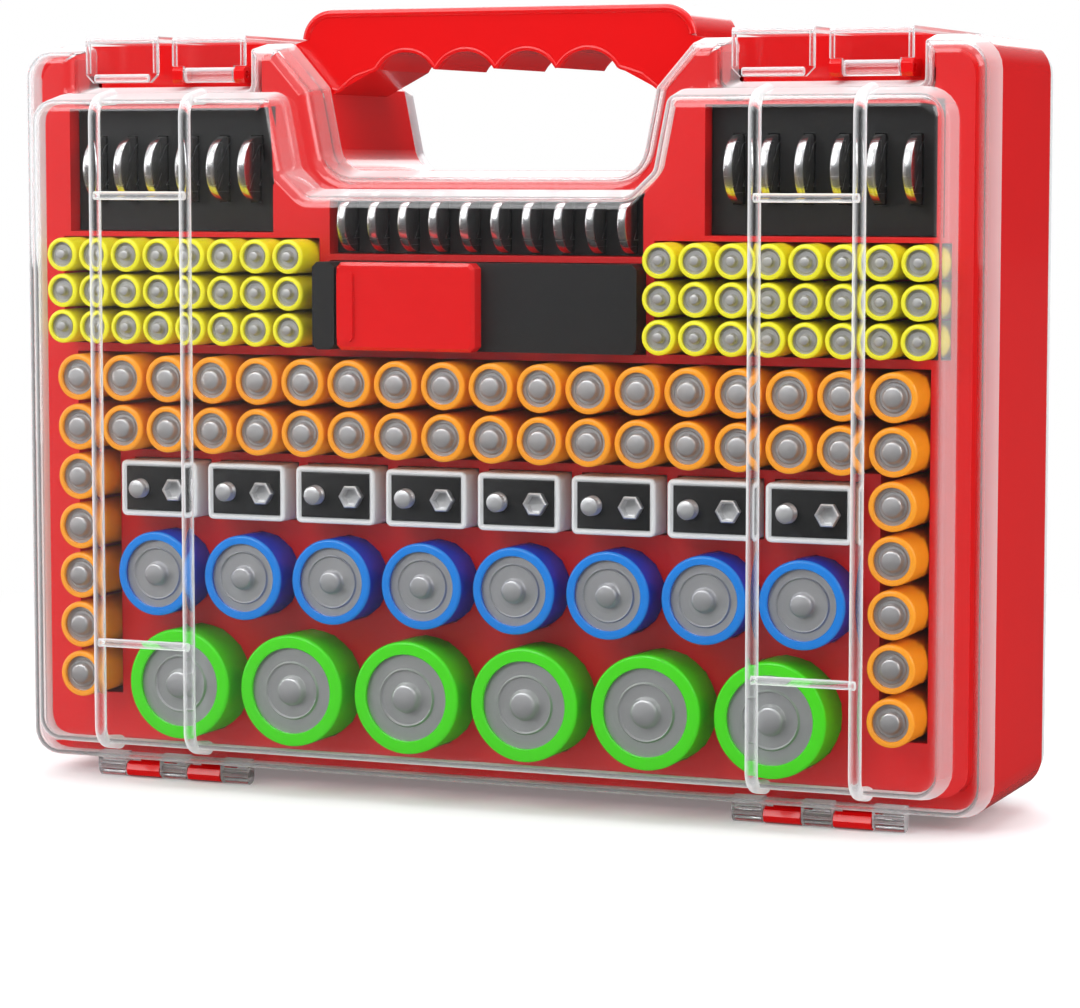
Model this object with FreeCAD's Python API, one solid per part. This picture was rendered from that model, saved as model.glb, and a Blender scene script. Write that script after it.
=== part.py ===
import FreeCAD, Part
import math
import os

from FreeCAD import Vector

# A double-sided carry case for household cells. A red body with a handle holds a tray on each
# side, a clear lid is hinged at the bottom of each side, and four clear straps cross the top
# edge and hold the lids shut. Millimetres, x to the right seen from the front, y to the back,
# z up, origin on the table under the middle of the case.

os.makedirs("parts", exist_ok=True)

# Case outline at the lids' parting planes
case_half_width = 155.8
case_bottom = 4.3
case_top = 228.3
case_corner_radius = 10.0

# Depths, measured from the middle of the body
body_half_depth = 27.0
rim_depth = 13.0
panel_depth = 13.0
rim_draft = 2.5
panel_draft = 2.5
lid_wall = 1.8

# Notch of the lids round the hand opening
notch_top_half_share = 0.42362
notch_top_half = notch_top_half_share * case_half_width
notch_knee_half_share = 0.3466
notch_knee_half = notch_knee_half_share * case_half_width
notch_knee_drop = 13.5
notch_floor_half_share = 0.31451
notch_floor_half = notch_floor_half_share * case_half_width
notch_floor = 189.8
notch_corner_radius = 8.0

# Notch of the lids that leaves room for the straps
strap_notch_inner_share = 0.49743
strap_notch_inner = strap_notch_inner_share * case_half_width
strap_notch_outer_share = 0.862
strap_notch_outer = strap_notch_outer_share * case_half_width
strap_notch_floor = 215.5

# Raised panel of the lids
panel_margin = 8.8
panel_half_width = case_half_width - panel_margin
panel_bottom = 11.0
panel_top = 213.4
panel_corner_radius = 9.0
panel_notch_half_share = 0.39795
panel_notch_half = panel_notch_half_share * case_half_width
panel_notch_knee_half_share = 0.36906
panel_notch_knee_half = panel_notch_knee_half_share * case_half_width
panel_notch_knee = 190.8
panel_notch_floor_half_share = 0.32413
panel_notch_floor_half = panel_notch_floor_half_share * case_half_width
panel_notch_floor = 184.3

# Height above which a lid's two top corners are pieces of their own
lid_corner_foot = 208.0

# Tube ribs on the lids' panels
rib_inner_place_share = 0.5828
rib_inner_place = rib_inner_place_share * case_half_width
rib_outer_place_share = 0.78177
rib_outer_place = rib_outer_place_share * case_half_width
rib_radius = 1.6
rib_proud = 1.0
rib_chamfer = 0.8
rib_bar_high = 182.2
rib_bar_low = 44.7

# Red body
body_wall = 3.8
flange_thickness = 2.5
flange_width = 9.2
smallest_radius = 0.4

# Handle
handle_top = 238.5
handle_half_width_share = 0.40629
handle_half_width = handle_half_width_share * case_half_width
handle_shoulder_radius = 9.5
handle_front = 26.0
handle_back = 13.0
handle_wall = 2.6
handle_foot = 212.8
handle_chamfer = 1.5
scallop_pitch_share = 0.12644
scallop_pitch = scallop_pitch_share * case_half_width
scallop_count = 4
scallop_cusp = 220.1
scallop_rise = 5.7

# Decks
deck_face = 34.5
deck_plate = 2.5
front_deck_side_margin = 5.8
front_deck_half_width = case_half_width - front_deck_side_margin
front_deck_bottom = 11.0
front_deck_top = 224.3
front_deck_radius = 8.0
front_deck_margin = 4.2
rear_deck_margin = 4.2
deck_skirt = 1.6
well_floor = 2.0
well_wall = 1.6
cell_clearance = 0.25
cell_side_margin = 5.0
cell_group_gap = 2.5

# Rear deck and groove
rear_deck_side_margin = 10.1
rear_deck_half_width = case_half_width - rear_deck_side_margin
rear_deck_bottom = 14.4
rear_deck_top = 218.2
rear_plate = 6.5
groove_floor = 15.0
groove_floor_thickness = 2.5
groove_rib_thickness = 1.8
groove_rib_recess = 1.5
groove_rib_high = 186.2
groove_rib_pitch = 58.8
groove_rib_count = 3

# Lid hinges
hinge_height = 2.5
hinge_depth = 34.0
barrel_radius = 2.5
hinge_bar_radius = 1.1
hinge_running_gap = 0.05
knuckle_edge_shares = (0.50706, 0.5706, 0.64506, 0.70732, 0.78306, 0.84724)
knuckle_edges = [share * case_half_width for share in knuckle_edge_shares]
knuckle_gap = 0.35
red_arm_reach = 9.0

# Straps and their ears
strap_inner_place_share = 0.58729
strap_inner_place = strap_inner_place_share * case_half_width
strap_outer_place_share = 0.76765
strap_outer_place = strap_outer_place_share * case_half_width
strap_width_share = 0.15854
strap_width = strap_width_share * case_half_width
strap_thickness = 1.8
strap_axis_height = 218.9
strap_axis_depth = 33.0
strap_bar_width_share = 0.1104
strap_bar_width = strap_bar_width_share * case_half_width
strap_bar_radius = 2.3
strap_top_gap = 0.6
strap_chamfer = 1.0
flap_outer_depth = 39.0
flap_bottom = 216.6
flap_chamfer = 2.5
trunnion_radius = 1.2
trunnion_length = 2.4
ear_width = 3.4
ear_gap = 0.3
ear_half_height = 2.5
ear_chamfer = 1.2

# Front cells: diameter or section, length, and how far the outer end stands from the middle
aa_diameter = 14.3
aa_length = 50.5
aa_end = 48.0
aa_pitch = 15.4
aa_rows_count = 2
aa_columns = int(2 * (front_deck_half_width - cell_side_margin) / aa_pitch)
aa_top_row = 126.3
aa_side_rows = 5

aaa_diameter = 10.4
aaa_length = 44.5
aaa_end = 46.0
aaa_pitch = 11.1
aaa_rows = 3
aaa_first_column_share = 0.38254
aaa_first_column = aaa_first_column_share * case_half_width
aaa_top_row = 164.0
aaa_room = front_deck_half_width - cell_side_margin - aaa_first_column - aaa_diameter / 2
aaa_columns = int(aaa_room / aaa_pitch) + 1

# Cells below them stand between the two end columns
lower_half_span = (aa_columns - 1) / 2 * aa_pitch - aa_diameter / 2 - cell_group_gap

c_diameter = 26.0
c_length = 50.0
c_end = 48.0
c_pitch = 29.8
c_columns = int(2 * lower_half_span / c_pitch)
c_row = 66.3

d_diameter = 34.0
d_length = 61.5
d_end = 50.0
d_pitch = 38.2
d_columns = int(2 * lower_half_span / d_pitch)
d_row = 32.8

nine_volt_width = 26.3
nine_volt_height = 17.3
nine_volt_length = 46.5
nine_volt_end = 44.0
nine_volt_pitch = 30.0
nine_volt_columns = int(2 * lower_half_span / nine_volt_pitch)
nine_volt_row = 92.2
nine_volt_chamfer = 1.5

small_cell_sides = 8
large_cell_sides = 14
bar_sides = 8
corner_sides = 5

# Coin cells and their holders
coin_diameter = 20.0
coin_thickness = 3.2
coin_slot_gap = 0.25
holder_face = 29.0
holder_depth = 14.0
coin_sink = 1.0
side_holder_inner_share = 0.44929
side_holder_inner = side_holder_inner_share * case_half_width
side_holder_outer_share = 0.89859
side_holder_outer = side_holder_outer_share * case_half_width
side_holder_bottom = 171.3
side_holder_top = 209.3
side_coin_pitch = 10.7
side_coin_count = int((side_holder_outer - side_holder_inner) / side_coin_pitch)
middle_holder_half_share = 0.32413
middle_holder_half = middle_holder_half_share * case_half_width
middle_holder_bottom = 165.0
middle_holder_top = 184.0
middle_coin_diameter = 18.0
middle_coin_pitch = 10.05
middle_coin_count = int(2 * middle_holder_half / middle_coin_pitch)
rear_holder_inner_share = 0.42169
rear_holder_inner = rear_holder_inner_share * case_half_width
rear_holder_outer_share = 0.90244
rear_holder_outer = rear_holder_outer_share * case_half_width
rear_holder_bottom = 187.8
rear_holder_top = 208.5
rear_coin_pitch = 9.2
rear_coin_count = int((rear_holder_outer - rear_holder_inner) / rear_coin_pitch)
rear_coin_diameter = 18.0

# Tester
tester_left_share = -0.32413
tester_left = tester_left_share * case_half_width
tester_right_share = 0.32991
tester_right = tester_right_share * case_half_width
tester_bottom = 136.4
tester_top = 162.6
tester_seat = 29.0
tester_face = 41.8
tester_chamfer = 1.5
tester_end_width = 7.2
tester_end_rise = 5.5
jaw_left_share = -0.27343
jaw_left = jaw_left_share * case_half_width
jaw_width_share = 0.28883
jaw_width = jaw_width_share * case_half_width
jaw_face = 47.8
jaw_gap = 0.3
jaw_grip_width = 6.0
jaw_grip_rise = 1.2
jaw_chamfer = 1.0

# Lying cells of the rear tray
rear_span_margin = 13.9
rear_span_half = case_half_width - rear_span_margin
rear_top_row = 173.4
rear_axis_share = 0.5
rear_cell_gap = 4.6

wide_diameter = 18.0
wide_length_share = 0.43902
wide_length = wide_length_share * case_half_width
wide_rows = 3
wide_pitch = 20.15

camera_diameter = 16.5
camera_span_half_share = 0.43582
camera_span_half = camera_span_half_share * case_half_width
camera_rows = 2
camera_pitch = 18.3
camera_length_shares = (0.27, 0.46, 0.27)

half_diameter = 15.6
half_row_drop = 39.4
half_length_shares = (0.23, 0.27, 0.27, 0.23)

short_diameter = 12.7
short_row_drop = 58.5
short_columns = 9

medium_diameter = 14.1
medium_row_drop = 75.1
medium_pitch = 15.9
medium_rows = 2
medium_columns = 5
medium_end_length_share = 0.34082
medium_end_length = medium_end_length_share * case_half_width

slim_diameter = 9.7
slim_length_shares = (0.22, 0.28, 0.28, 0.22)
slim_span_half_share = 0.47561
slim_span_half = slim_span_half_share * case_half_width

thin_diameter = 10.2
thin_row_drop = 122.2
thin_pitch = 11.7
thin_rows = 2
thin_columns = 6

tiny_diameter = 8.1
tiny_row_drop = 146.2
tiny_pitch = 9.5
tiny_rows = 2
tiny_columns = 6

# Assembly pins
pin_radius = 3.0
pin_length = 6.0
pin_head_proud = 0.8
pin_side_margin = 14.6
pin_upper_place = case_half_width - pin_side_margin
pin_upper_height = 212.6

# One overrun serves every cut
overrun = 1.0


# Working shapes

def inset_points(points, distance):
    """Moves every side of a counterclockwise outline inward by one distance."""
    moved = []
    for i in range(len(points)):
        before = Vector(points[i - 1][0], 0, points[i - 1][1])
        here = Vector(points[i][0], 0, points[i][1])
        after = Vector(points[(i + 1) % len(points)][0], 0, points[(i + 1) % len(points)][1])
        along_in = (here - before).normalize()
        along_out = (after - here).normalize()
        inward_in = Vector(-along_in.z, 0, along_in.x)
        inward_out = Vector(-along_out.z, 0, along_out.x)
        step = (inward_in + inward_out).multiply(distance / (1 + inward_in.dot(inward_out)))
        moved.append((here.x + step.x, here.z + step.z))
    return moved


def inset_radii(points, radii, distance):
    """Corner radii of the inset outline: outer corners shrink, inner ones grow, sharp ones stay."""
    moved = []
    for i in range(len(points)):
        before = points[i - 1]
        here = points[i]
        after = points[(i + 1) % len(points)]
        turn = (here[0] - before[0]) * (after[1] - here[1]) - (here[1] - before[1]) * (after[0] - here[0])
        radius = radii[i] - distance if turn > 0 else radii[i] + distance
        moved.append(max(radius, smallest_radius) if radii[i] else 0)
    return moved


def rounded_wire(points, radii, depth):
    """Closed outline of sides and corner arcs in the upright plane at one depth."""
    corners = []
    for i in range(len(points)):
        if not radii[i]:
            here = Vector(points[i][0], depth, points[i][1])
            corners.append((here, here, here))
            continue
        before = Vector(points[i - 1][0], depth, points[i - 1][1])
        here = Vector(points[i][0], depth, points[i][1])
        after = Vector(points[(i + 1) % len(points)][0], depth, points[(i + 1) % len(points)][1])
        back = (before - here).normalize()
        ahead = (after - here).normalize()
        half_angle = math.acos(max(-1, min(1, back.dot(ahead)))) / 2
        reach = radii[i] / math.tan(half_angle)
        middle = (back + ahead).normalize()
        centre = here + middle * (radii[i] / math.sin(half_angle))
        corners.append((here + back * reach, centre - middle * radii[i], here + ahead * reach))
    edges = []
    for i in range(len(corners)):
        start, top, end = corners[i]
        if radii[i]:
            edges.append(Part.Arc(start, top, end).toShape())
        edges.append(Part.LineSegment(end, corners[(i + 1) % len(corners)][0]).toShape())
    return Part.Wire(edges)


def prism(points, radii, from_depth, to_depth):
    """Straight solid of one outline between two depths."""
    face = Part.Face(rounded_wire(points, radii, from_depth))
    return face.extrude(Vector(0, to_depth - from_depth, 0))


def inset_prism(points, radii, distance, from_depth, to_depth):
    """Straight solid of an outline drawn in by one distance."""
    return prism(inset_points(points, distance), inset_radii(points, radii, distance), from_depth, to_depth)


def sided_outline(points, radii, depth):
    """Points of the same outline with its corner arcs drawn as a few flats."""
    corners = []
    for edge in rounded_wire(points, radii, depth).Edges:
        parts = 1 if isinstance(edge.Curve, Part.Line) else corner_sides
        step = (edge.LastParameter - edge.FirstParameter) / parts
        corners += [edge.valueAt(edge.FirstParameter + i * step) for i in range(parts)]
    return corners


def flat_face(corners):
    """Flat face between corners in order."""
    return Part.Face(Part.makePolygon(corners + corners[:1]))


def drafted(points, radii, from_inset, to_inset, from_depth, to_depth):
    """Solid whose sides lean from one inset outline to another, as a moulding's draft."""
    corner_radii = inset_radii(points, radii, from_inset)
    first = sided_outline(inset_points(points, from_inset), corner_radii, from_depth)
    last = sided_outline(inset_points(points, to_inset), corner_radii, to_depth)
    faces = [flat_face(first), flat_face(last)]
    for a, b, c, d in zip(first, first[1:] + first[:1], last[1:] + last[:1], last):
        faces.append(flat_face([a, b, c, d]))
    shell = Part.makeShell(faces)
    shell.sewShape()
    return Part.makeSolid(shell)


def block(x_low, x_high, y_low, y_high, z_low, z_high):
    """Plain box between two corners."""
    size = Vector(x_high - x_low, y_high - y_low, z_high - z_low)
    return Part.makeBox(size.x, size.y, size.z, Vector(x_low, y_low, z_low))


def round_block(x_low, x_high, z_low, z_high, radius, from_depth, to_depth):
    """Box with rounded upright-plane corners."""
    points = [(x_low, z_low), (x_high, z_low), (x_high, z_high), (x_low, z_high)]
    return prism(points, [radius] * len(points), from_depth, to_depth)


def chamfered_block(x_low, x_high, z_low, z_high, cut, from_depth, to_depth):
    """Box with its four long corners cut flat."""
    points = [
        (x_low + cut, z_low), (x_high - cut, z_low), (x_high, z_low + cut), (x_high, z_high - cut),
        (x_high - cut, z_high), (x_low + cut, z_high), (x_low, z_high - cut), (x_low, z_low + cut),
    ]
    return prism(points, [0] * len(points), from_depth, to_depth)


def cross_bar(y, z, radius, x_low, x_high):
    """Round bar along the case's width."""
    return Part.makeCylinder(radius, x_high - x_low, Vector(x_low, y, z), Vector(1, 0, 0))


def sided_cross_bar(y, z, radius, x_low, x_high):
    """Bar of a few flats along the case's width, whose corners lie on the radius."""
    return sided_bar(Vector(x_low, y, z), Vector(1, 0, 0), radius, x_high - x_low, bar_sides)


def sided_bar(start, along, radius, length, sides):
    """Round bar drawn with flat sides, which keeps the many cells light."""
    side = Vector(0, 0, 1)
    other = along.cross(side)
    corners = []
    for i in range(sides + 1):
        angle = 2 * math.pi * i / sides
        corners.append(start + side * (radius * math.cos(angle)) + other * (radius * math.sin(angle)))
    return Part.Face(Part.makePolygon(corners)).extrude(along * length)


def small_cell(start, along, radius, length):
    """Small round cell as a bar of few sides."""
    return sided_bar(start, along, radius, length, small_cell_sides)


def upright_bar(x, z, radius, from_depth, to_depth):
    """Large round cell, or its pocket, along the case's depth."""
    foot = Vector(x, from_depth, z)
    return sided_bar(foot, Vector(0, 1, 0), radius, to_depth - from_depth, large_cell_sides)


def fuse_all(shapes):
    """One solid from many."""
    joined = shapes[0].multiFuse(shapes[1:]) if len(shapes) > 1 else shapes[0]
    return joined.removeSplitter()


def turned_round(shape):
    """The same piece on the other side of the case: half a turn about the upright axis."""
    copy = shape.copy()
    copy.rotate(Vector(0, 0, 0), Vector(0, 0, 1), 180)
    return copy


def save(name, shapes):
    """Writes one node, which holds one solid or a group of like solids."""
    shape = shapes[0] if len(shapes) == 1 else Part.makeCompound(shapes)
    shape.exportStep("parts/" + name + ".step")
    print(name, len(shape.Solids), "solids", round(shape.Volume), "mm3")


def spread(count, pitch):
    """Places of a row of equal pitch about the middle."""
    return [(i - (count - 1) / 2) * pitch for i in range(count)]


# Outlines shared by the body, the decks and the lids

notch_knee_height = case_top - notch_knee_drop

body_outline = [
    (-case_half_width, case_bottom),
    (case_half_width, case_bottom),
    (case_half_width, case_top),
    (notch_top_half, case_top),
    (notch_knee_half, notch_knee_height),
    (notch_floor_half, notch_floor),
    (-notch_floor_half, notch_floor),
    (-notch_knee_half, notch_knee_height),
    (-notch_top_half, case_top),
    (-case_half_width, case_top),
]
body_radii = [
    case_corner_radius,
    case_corner_radius,
    case_corner_radius,
    0,
    0,
    notch_corner_radius,
    notch_corner_radius,
    0,
    0,
    case_corner_radius,
]

strap_notch_right = [
    (strap_notch_outer, case_top),
    (strap_notch_outer, strap_notch_floor),
    (strap_notch_inner, strap_notch_floor),
    (strap_notch_inner, case_top),
]
strap_notch_left = [(-x, z) for x, z in reversed(strap_notch_right)]
strap_radii = [0] * len(strap_notch_right)

lid_outline = body_outline[:3] + strap_notch_right + body_outline[3:9] + strap_notch_left + body_outline[9:]
lid_radii = body_radii[:3] + strap_radii + body_radii[3:9] + strap_radii + body_radii[9:]

panel_outline = [
    (-panel_half_width, panel_bottom),
    (panel_half_width, panel_bottom),
    (panel_half_width, panel_top),
    (panel_notch_half, panel_top),
    (panel_notch_knee_half, panel_notch_knee),
    (panel_notch_floor_half, panel_notch_floor),
    (-panel_notch_floor_half, panel_notch_floor),
    (-panel_notch_knee_half, panel_notch_knee),
    (-panel_notch_half, panel_top),
    (-panel_half_width, panel_top),
]
panel_radii = [
    panel_corner_radius,
    panel_corner_radius,
    panel_corner_radius,
    0,
    0,
    0,
    0,
    0,
    0,
    panel_corner_radius,
]

flange_depth = body_half_depth + rim_depth
panel_face = flange_depth + panel_depth


# Hinges: the knuckles of one hinge alternate between lid and body

def knuckle_spans(first):
    """Every second knuckle of the right-hand hinge, each shortened by its share of the gap."""
    spans = []
    for i in range(first, len(knuckle_edges) - 1, 2):
        spans.append((knuckle_edges[i] + knuckle_gap / 2, knuckle_edges[i + 1] - knuckle_gap / 2))
    return spans


def both_sides(spans):
    """The same spans at the left and at the right of the case."""
    return spans + [(-high, -low) for low, high in spans]


def barrel(x_low, x_high):
    """Knuckle of a hinge in front of the case."""
    return sided_cross_bar(-hinge_depth, hinge_height, barrel_radius, x_low, x_high)


def barrel_hole(x_low, x_high):
    """Bore of a red knuckle, a running fit on the lid's hinge bar at every angle."""
    radius = (hinge_bar_radius + hinge_running_gap) / math.cos(math.pi / bar_sides)
    return sided_cross_bar(-hinge_depth, hinge_height, radius, x_low - overrun, x_high + overrun)


def body_arm(x_low, x_high):
    """Web that runs from a red knuckle back to the underside of the body wall."""
    top = case_bottom
    root = -body_half_depth + red_arm_reach
    points = [
        Vector(x_low, -hinge_depth, hinge_height - barrel_radius),
        Vector(x_low, root, top),
        Vector(x_low, root, top + body_wall / 2),
        Vector(x_low, -body_half_depth, top + body_wall / 2),
        Vector(x_low, -body_half_depth, hinge_height + hinge_bar_radius),
        Vector(x_low, -hinge_depth, hinge_height + barrel_radius),
    ]
    face = Part.Face(Part.makePolygon(points + points[:1]))
    return face.extrude(Vector(x_high - x_low, 0, 0))


def lid_web(x_low, x_high):
    """Short wall that carries a clear knuckle under the lid's rim."""
    return block(
        x_low, x_high, -hinge_depth - barrel_radius, -hinge_depth + barrel_radius,
        hinge_height, case_bottom + rim_draft + lid_wall / 2,
    )


# Body halves

ear_outer = strap_bar_width / 2 + ear_gap + ear_width
strap_hinge_places = (-strap_inner_place, strap_outer_place)


def latch_ear(x_low, x_high):
    """Ear with a blunted nose that carries one trunnion of a strap."""
    nose = -strap_axis_depth - ear_half_height
    root = -body_half_depth + flange_thickness
    low = strap_axis_height - ear_half_height
    high = strap_axis_height + ear_half_height
    points = [
        Vector(x_low, root, low),
        Vector(x_low, nose + ear_chamfer, low),
        Vector(x_low, nose, low + ear_chamfer),
        Vector(x_low, nose, high - ear_chamfer),
        Vector(x_low, nose + ear_chamfer, high),
        Vector(x_low, root, high),
    ]
    return Part.Face(Part.makePolygon(points + points[:1])).extrude(Vector(x_high - x_low, 0, 0))


def latch_ears():
    """Two ears for each of the two straps that are hinged on this side."""
    ears = []
    for place in strap_hinge_places:
        for inner, outer in ((-ear_outer, -ear_outer + ear_width), (ear_outer - ear_width, ear_outer)):
            ear = latch_ear(place + inner, place + outer)
            hole = sided_cross_bar(
                -strap_axis_depth, strap_axis_height,
                (trunnion_radius + hinge_running_gap) / math.cos(math.pi / bar_sides),
                place + inner - overrun, place + outer + overrun,
            )
            ears.append(ear.cut(hole))
    return ears


def front_flange():
    """Flange that closes the front half up to the edge of its deck."""
    back = -body_half_depth + flange_thickness
    plate = inset_prism(body_outline, body_radii, body_wall / 2, -body_half_depth, back)
    window = round_block(
        -case_half_width + flange_width, case_half_width - flange_width,
        case_bottom + flange_width, case_top - flange_width,
        smallest_radius, -body_half_depth - overrun, back + overrun,
    )
    room = inset_prism(body_outline, body_radii, body_wall, -body_half_depth - overrun, back + overrun)
    return plate.cut(window.common(room))


def body_half():
    """Half of the body wall with its red knuckles and latch ears, as it is at the front."""
    wall = prism(body_outline, body_radii, -body_half_depth, 0)
    room = inset_prism(body_outline, body_radii, body_wall, -body_half_depth - overrun, overrun)
    spans = both_sides(knuckle_spans(1))
    shapes = [wall.cut(room)]
    shapes += [body_arm(low, high) for low, high in spans]
    shapes += [barrel(low, high) for low, high in spans]
    shapes += latch_ears()
    half = fuse_all(shapes)
    for low, high in spans:
        half = half.cut(barrel_hole(low, high))
    return half


def handle():
    """Handle over the hand opening: a channel open to the rear, scalloped for the fingers."""
    cusps = spread(scallop_count + 1, scallop_pitch)
    points = [
        Vector(-notch_top_half, -handle_front, case_top),
        Vector(-notch_knee_half, -handle_front, notch_knee_height),
        Vector(-notch_knee_half + smallest_radius, -handle_front, handle_foot),
        Vector(cusps[0], -handle_front, scallop_cusp),
    ]
    edges = [Part.LineSegment(a, b).toShape() for a, b in zip(points, points[1:])]
    for left, right in zip(cusps, cusps[1:]):
        start = Vector(left, -handle_front, scallop_cusp)
        peak = Vector((left + right) / 2, -handle_front, scallop_cusp + scallop_rise)
        end = Vector(right, -handle_front, scallop_cusp)
        edges.append(Part.Arc(start, peak, end).toShape())
    points = [Vector(-p.x, p.y, p.z) for p in reversed(points)]
    edges += [Part.LineSegment(a, b).toShape() for a, b in zip(points, points[1:])]
    shoulder = handle_top - handle_shoulder_radius
    straight = handle_half_width - handle_shoulder_radius
    slant = handle_shoulder_radius * math.sqrt(0.5)
    right_foot = Vector(handle_half_width, -handle_front, shoulder)
    right_mid = Vector(straight + slant, -handle_front, shoulder + slant)
    right_top = Vector(straight, -handle_front, handle_top)
    left_foot = Vector(-right_foot.x, right_foot.y, right_foot.z)
    left_mid = Vector(-right_mid.x, right_mid.y, right_mid.z)
    left_top = Vector(-right_top.x, right_top.y, right_top.z)
    edges.append(Part.LineSegment(points[-1], right_foot).toShape())
    edges.append(Part.Arc(right_foot, right_mid, right_top).toShape())
    edges.append(Part.LineSegment(right_top, left_top).toShape())
    edges.append(Part.Arc(left_top, left_mid, left_foot).toShape())
    edges.append(Part.LineSegment(left_foot, Vector(-notch_top_half, -handle_front, case_top)).toShape())
    bar = Part.Face(Part.Wire(edges)).extrude(Vector(0, handle_front + handle_back, 0))
    outer_edges = [
        edge for edge in bar.Edges
        if edge.BoundBox.ZMin > case_top + smallest_radius and edge.BoundBox.YLength < smallest_radius
    ]
    bar = bar.makeChamfer(handle_chamfer, outer_edges)
    floor = scallop_cusp + scallop_rise + handle_wall
    for side in (-1, 1):
        near = side * handle_wall / 2
        far = side * (handle_half_width - handle_shoulder_radius / 2)
        hollow = round_block(
            min(near, far), max(near, far), floor, handle_top - handle_wall,
            0, -handle_front + handle_wall, handle_back + overrun,
        )
        bar = bar.cut(hollow)
    return bar


def make_front_shell():
    """Front body half with the handle."""
    return fuse_all([body_half(), front_flange(), handle()])


def make_rear_shell():
    """Rear body half: the floor and ribs of the groove round the rear deck."""
    half = body_half()
    ring = inset_prism(
        body_outline, body_radii, body_wall - smallest_radius,
        -groove_floor - groove_floor_thickness, -groove_floor,
    )
    reach = flange_width + body_wall
    hole = round_block(
        -case_half_width + reach, case_half_width - reach, case_bottom + reach, case_top - reach,
        0, -groove_floor - groove_floor_thickness - overrun, overrun,
    )
    round_notch = inset_prism(
        body_outline, body_radii, rear_deck_margin + deck_skirt,
        -groove_floor - groove_floor_thickness - overrun, overrun,
    )
    shapes = [half, ring.cut(hole.common(round_notch))]
    for i in range(groove_rib_count):
        height = groove_rib_high - i * groove_rib_pitch
        for side in (-1, 1):
            near = side * (rear_deck_half_width + knuckle_gap)
            far = side * (case_half_width - body_wall / 2)
            shapes.append(block(
                min(near, far), max(near, far),
                -body_half_depth + groove_rib_recess, -groove_floor - groove_floor_thickness / 2,
                height - groove_rib_thickness / 2, height + groove_rib_thickness / 2,
            ))
    for place in strap_hinge_places:
        for inner, outer in ((-ear_outer, -ear_outer + ear_width), (ear_outer - ear_width, ear_outer)):
            shapes.append(block(
                place + inner, place + outer,
                -body_half_depth, -body_half_depth + body_wall,
                strap_axis_height - ear_half_height, case_top - body_wall / 2,
            ))
    return turned_round(fuse_all(shapes))


# Decks

def deck_form(half_width, bottom, top, margin, from_depth, to_depth):
    """Solid with a deck's outline: a rounded plate, kept inside the notches of the lid by a margin."""
    plate = round_block(-half_width, half_width, bottom, top, front_deck_radius, from_depth, to_depth)
    allowed = inset_prism(lid_outline, lid_radii, margin, from_depth - overrun, to_depth + overrun)
    return plate.common(allowed)


aa_rows = [aa_top_row - i * aa_pitch for i in range(aa_rows_count)]
aa_side_places = [aa_top_row - (i + aa_rows_count) * aa_pitch for i in range(aa_side_rows)]
aa_places = spread(aa_columns, aa_pitch)
aaa_rows_list = [aaa_top_row - i * aaa_pitch for i in range(aaa_rows)]
aaa_places = [aaa_first_column + i * aaa_pitch for i in range(aaa_columns)]
c_places = spread(c_columns, c_pitch)
d_places = spread(d_columns, d_pitch)
nine_volt_places = spread(nine_volt_columns, nine_volt_pitch)


def well(x_low, x_high, z_low, z_high, back):
    """Square well from in front of the deck to its floor."""
    return block(
        x_low - cell_clearance, x_high + cell_clearance, -panel_face, back,
        z_low - cell_clearance, z_high + cell_clearance,
    )


def well_block(x_low, x_high, z_low, z_high, back):
    """Material round a well, behind the deck plate."""
    grow = cell_clearance + well_wall
    return block(
        x_low - grow, x_high + grow,
        -deck_face + deck_plate / 2, back + well_floor,
        z_low - grow, z_high + grow,
    )


def front_wells():
    """Each well as its corners in the deck and the depth of its floor."""
    aa_radius = aa_diameter / 2
    aaa_radius = aaa_diameter / 2
    aa_back = aa_length - aa_end
    wells = []
    wells.append((
        aa_places[0] - aa_radius, aa_places[-1] + aa_radius,
        aa_rows[-1] - aa_radius, aa_rows[0] + aa_radius, aa_back,
    ))
    for place in (aa_places[0], aa_places[-1]):
        wells.append((
            place - aa_radius, place + aa_radius,
            aa_side_places[-1] - aa_radius, aa_rows[-1], aa_back,
        ))
    for side in (-1, 1):
        near = side * (aaa_places[0] - aaa_radius)
        far = side * (aaa_places[-1] + aaa_radius)
        wells.append((
            min(near, far), max(near, far),
            aaa_rows_list[-1] - aaa_radius, aaa_rows_list[0] + aaa_radius, aaa_length - aaa_end,
        ))
        near = side * side_holder_inner
        far = side * side_holder_outer
        wells.append((
            min(near, far), max(near, far), side_holder_bottom, side_holder_top, -holder_face + holder_depth,
        ))
    wells.append((
        -middle_holder_half, middle_holder_half, middle_holder_bottom, middle_holder_top,
        -holder_face + holder_depth,
    ))
    wells.append((tester_left, tester_right, tester_bottom, tester_top, -tester_seat))
    return wells


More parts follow.
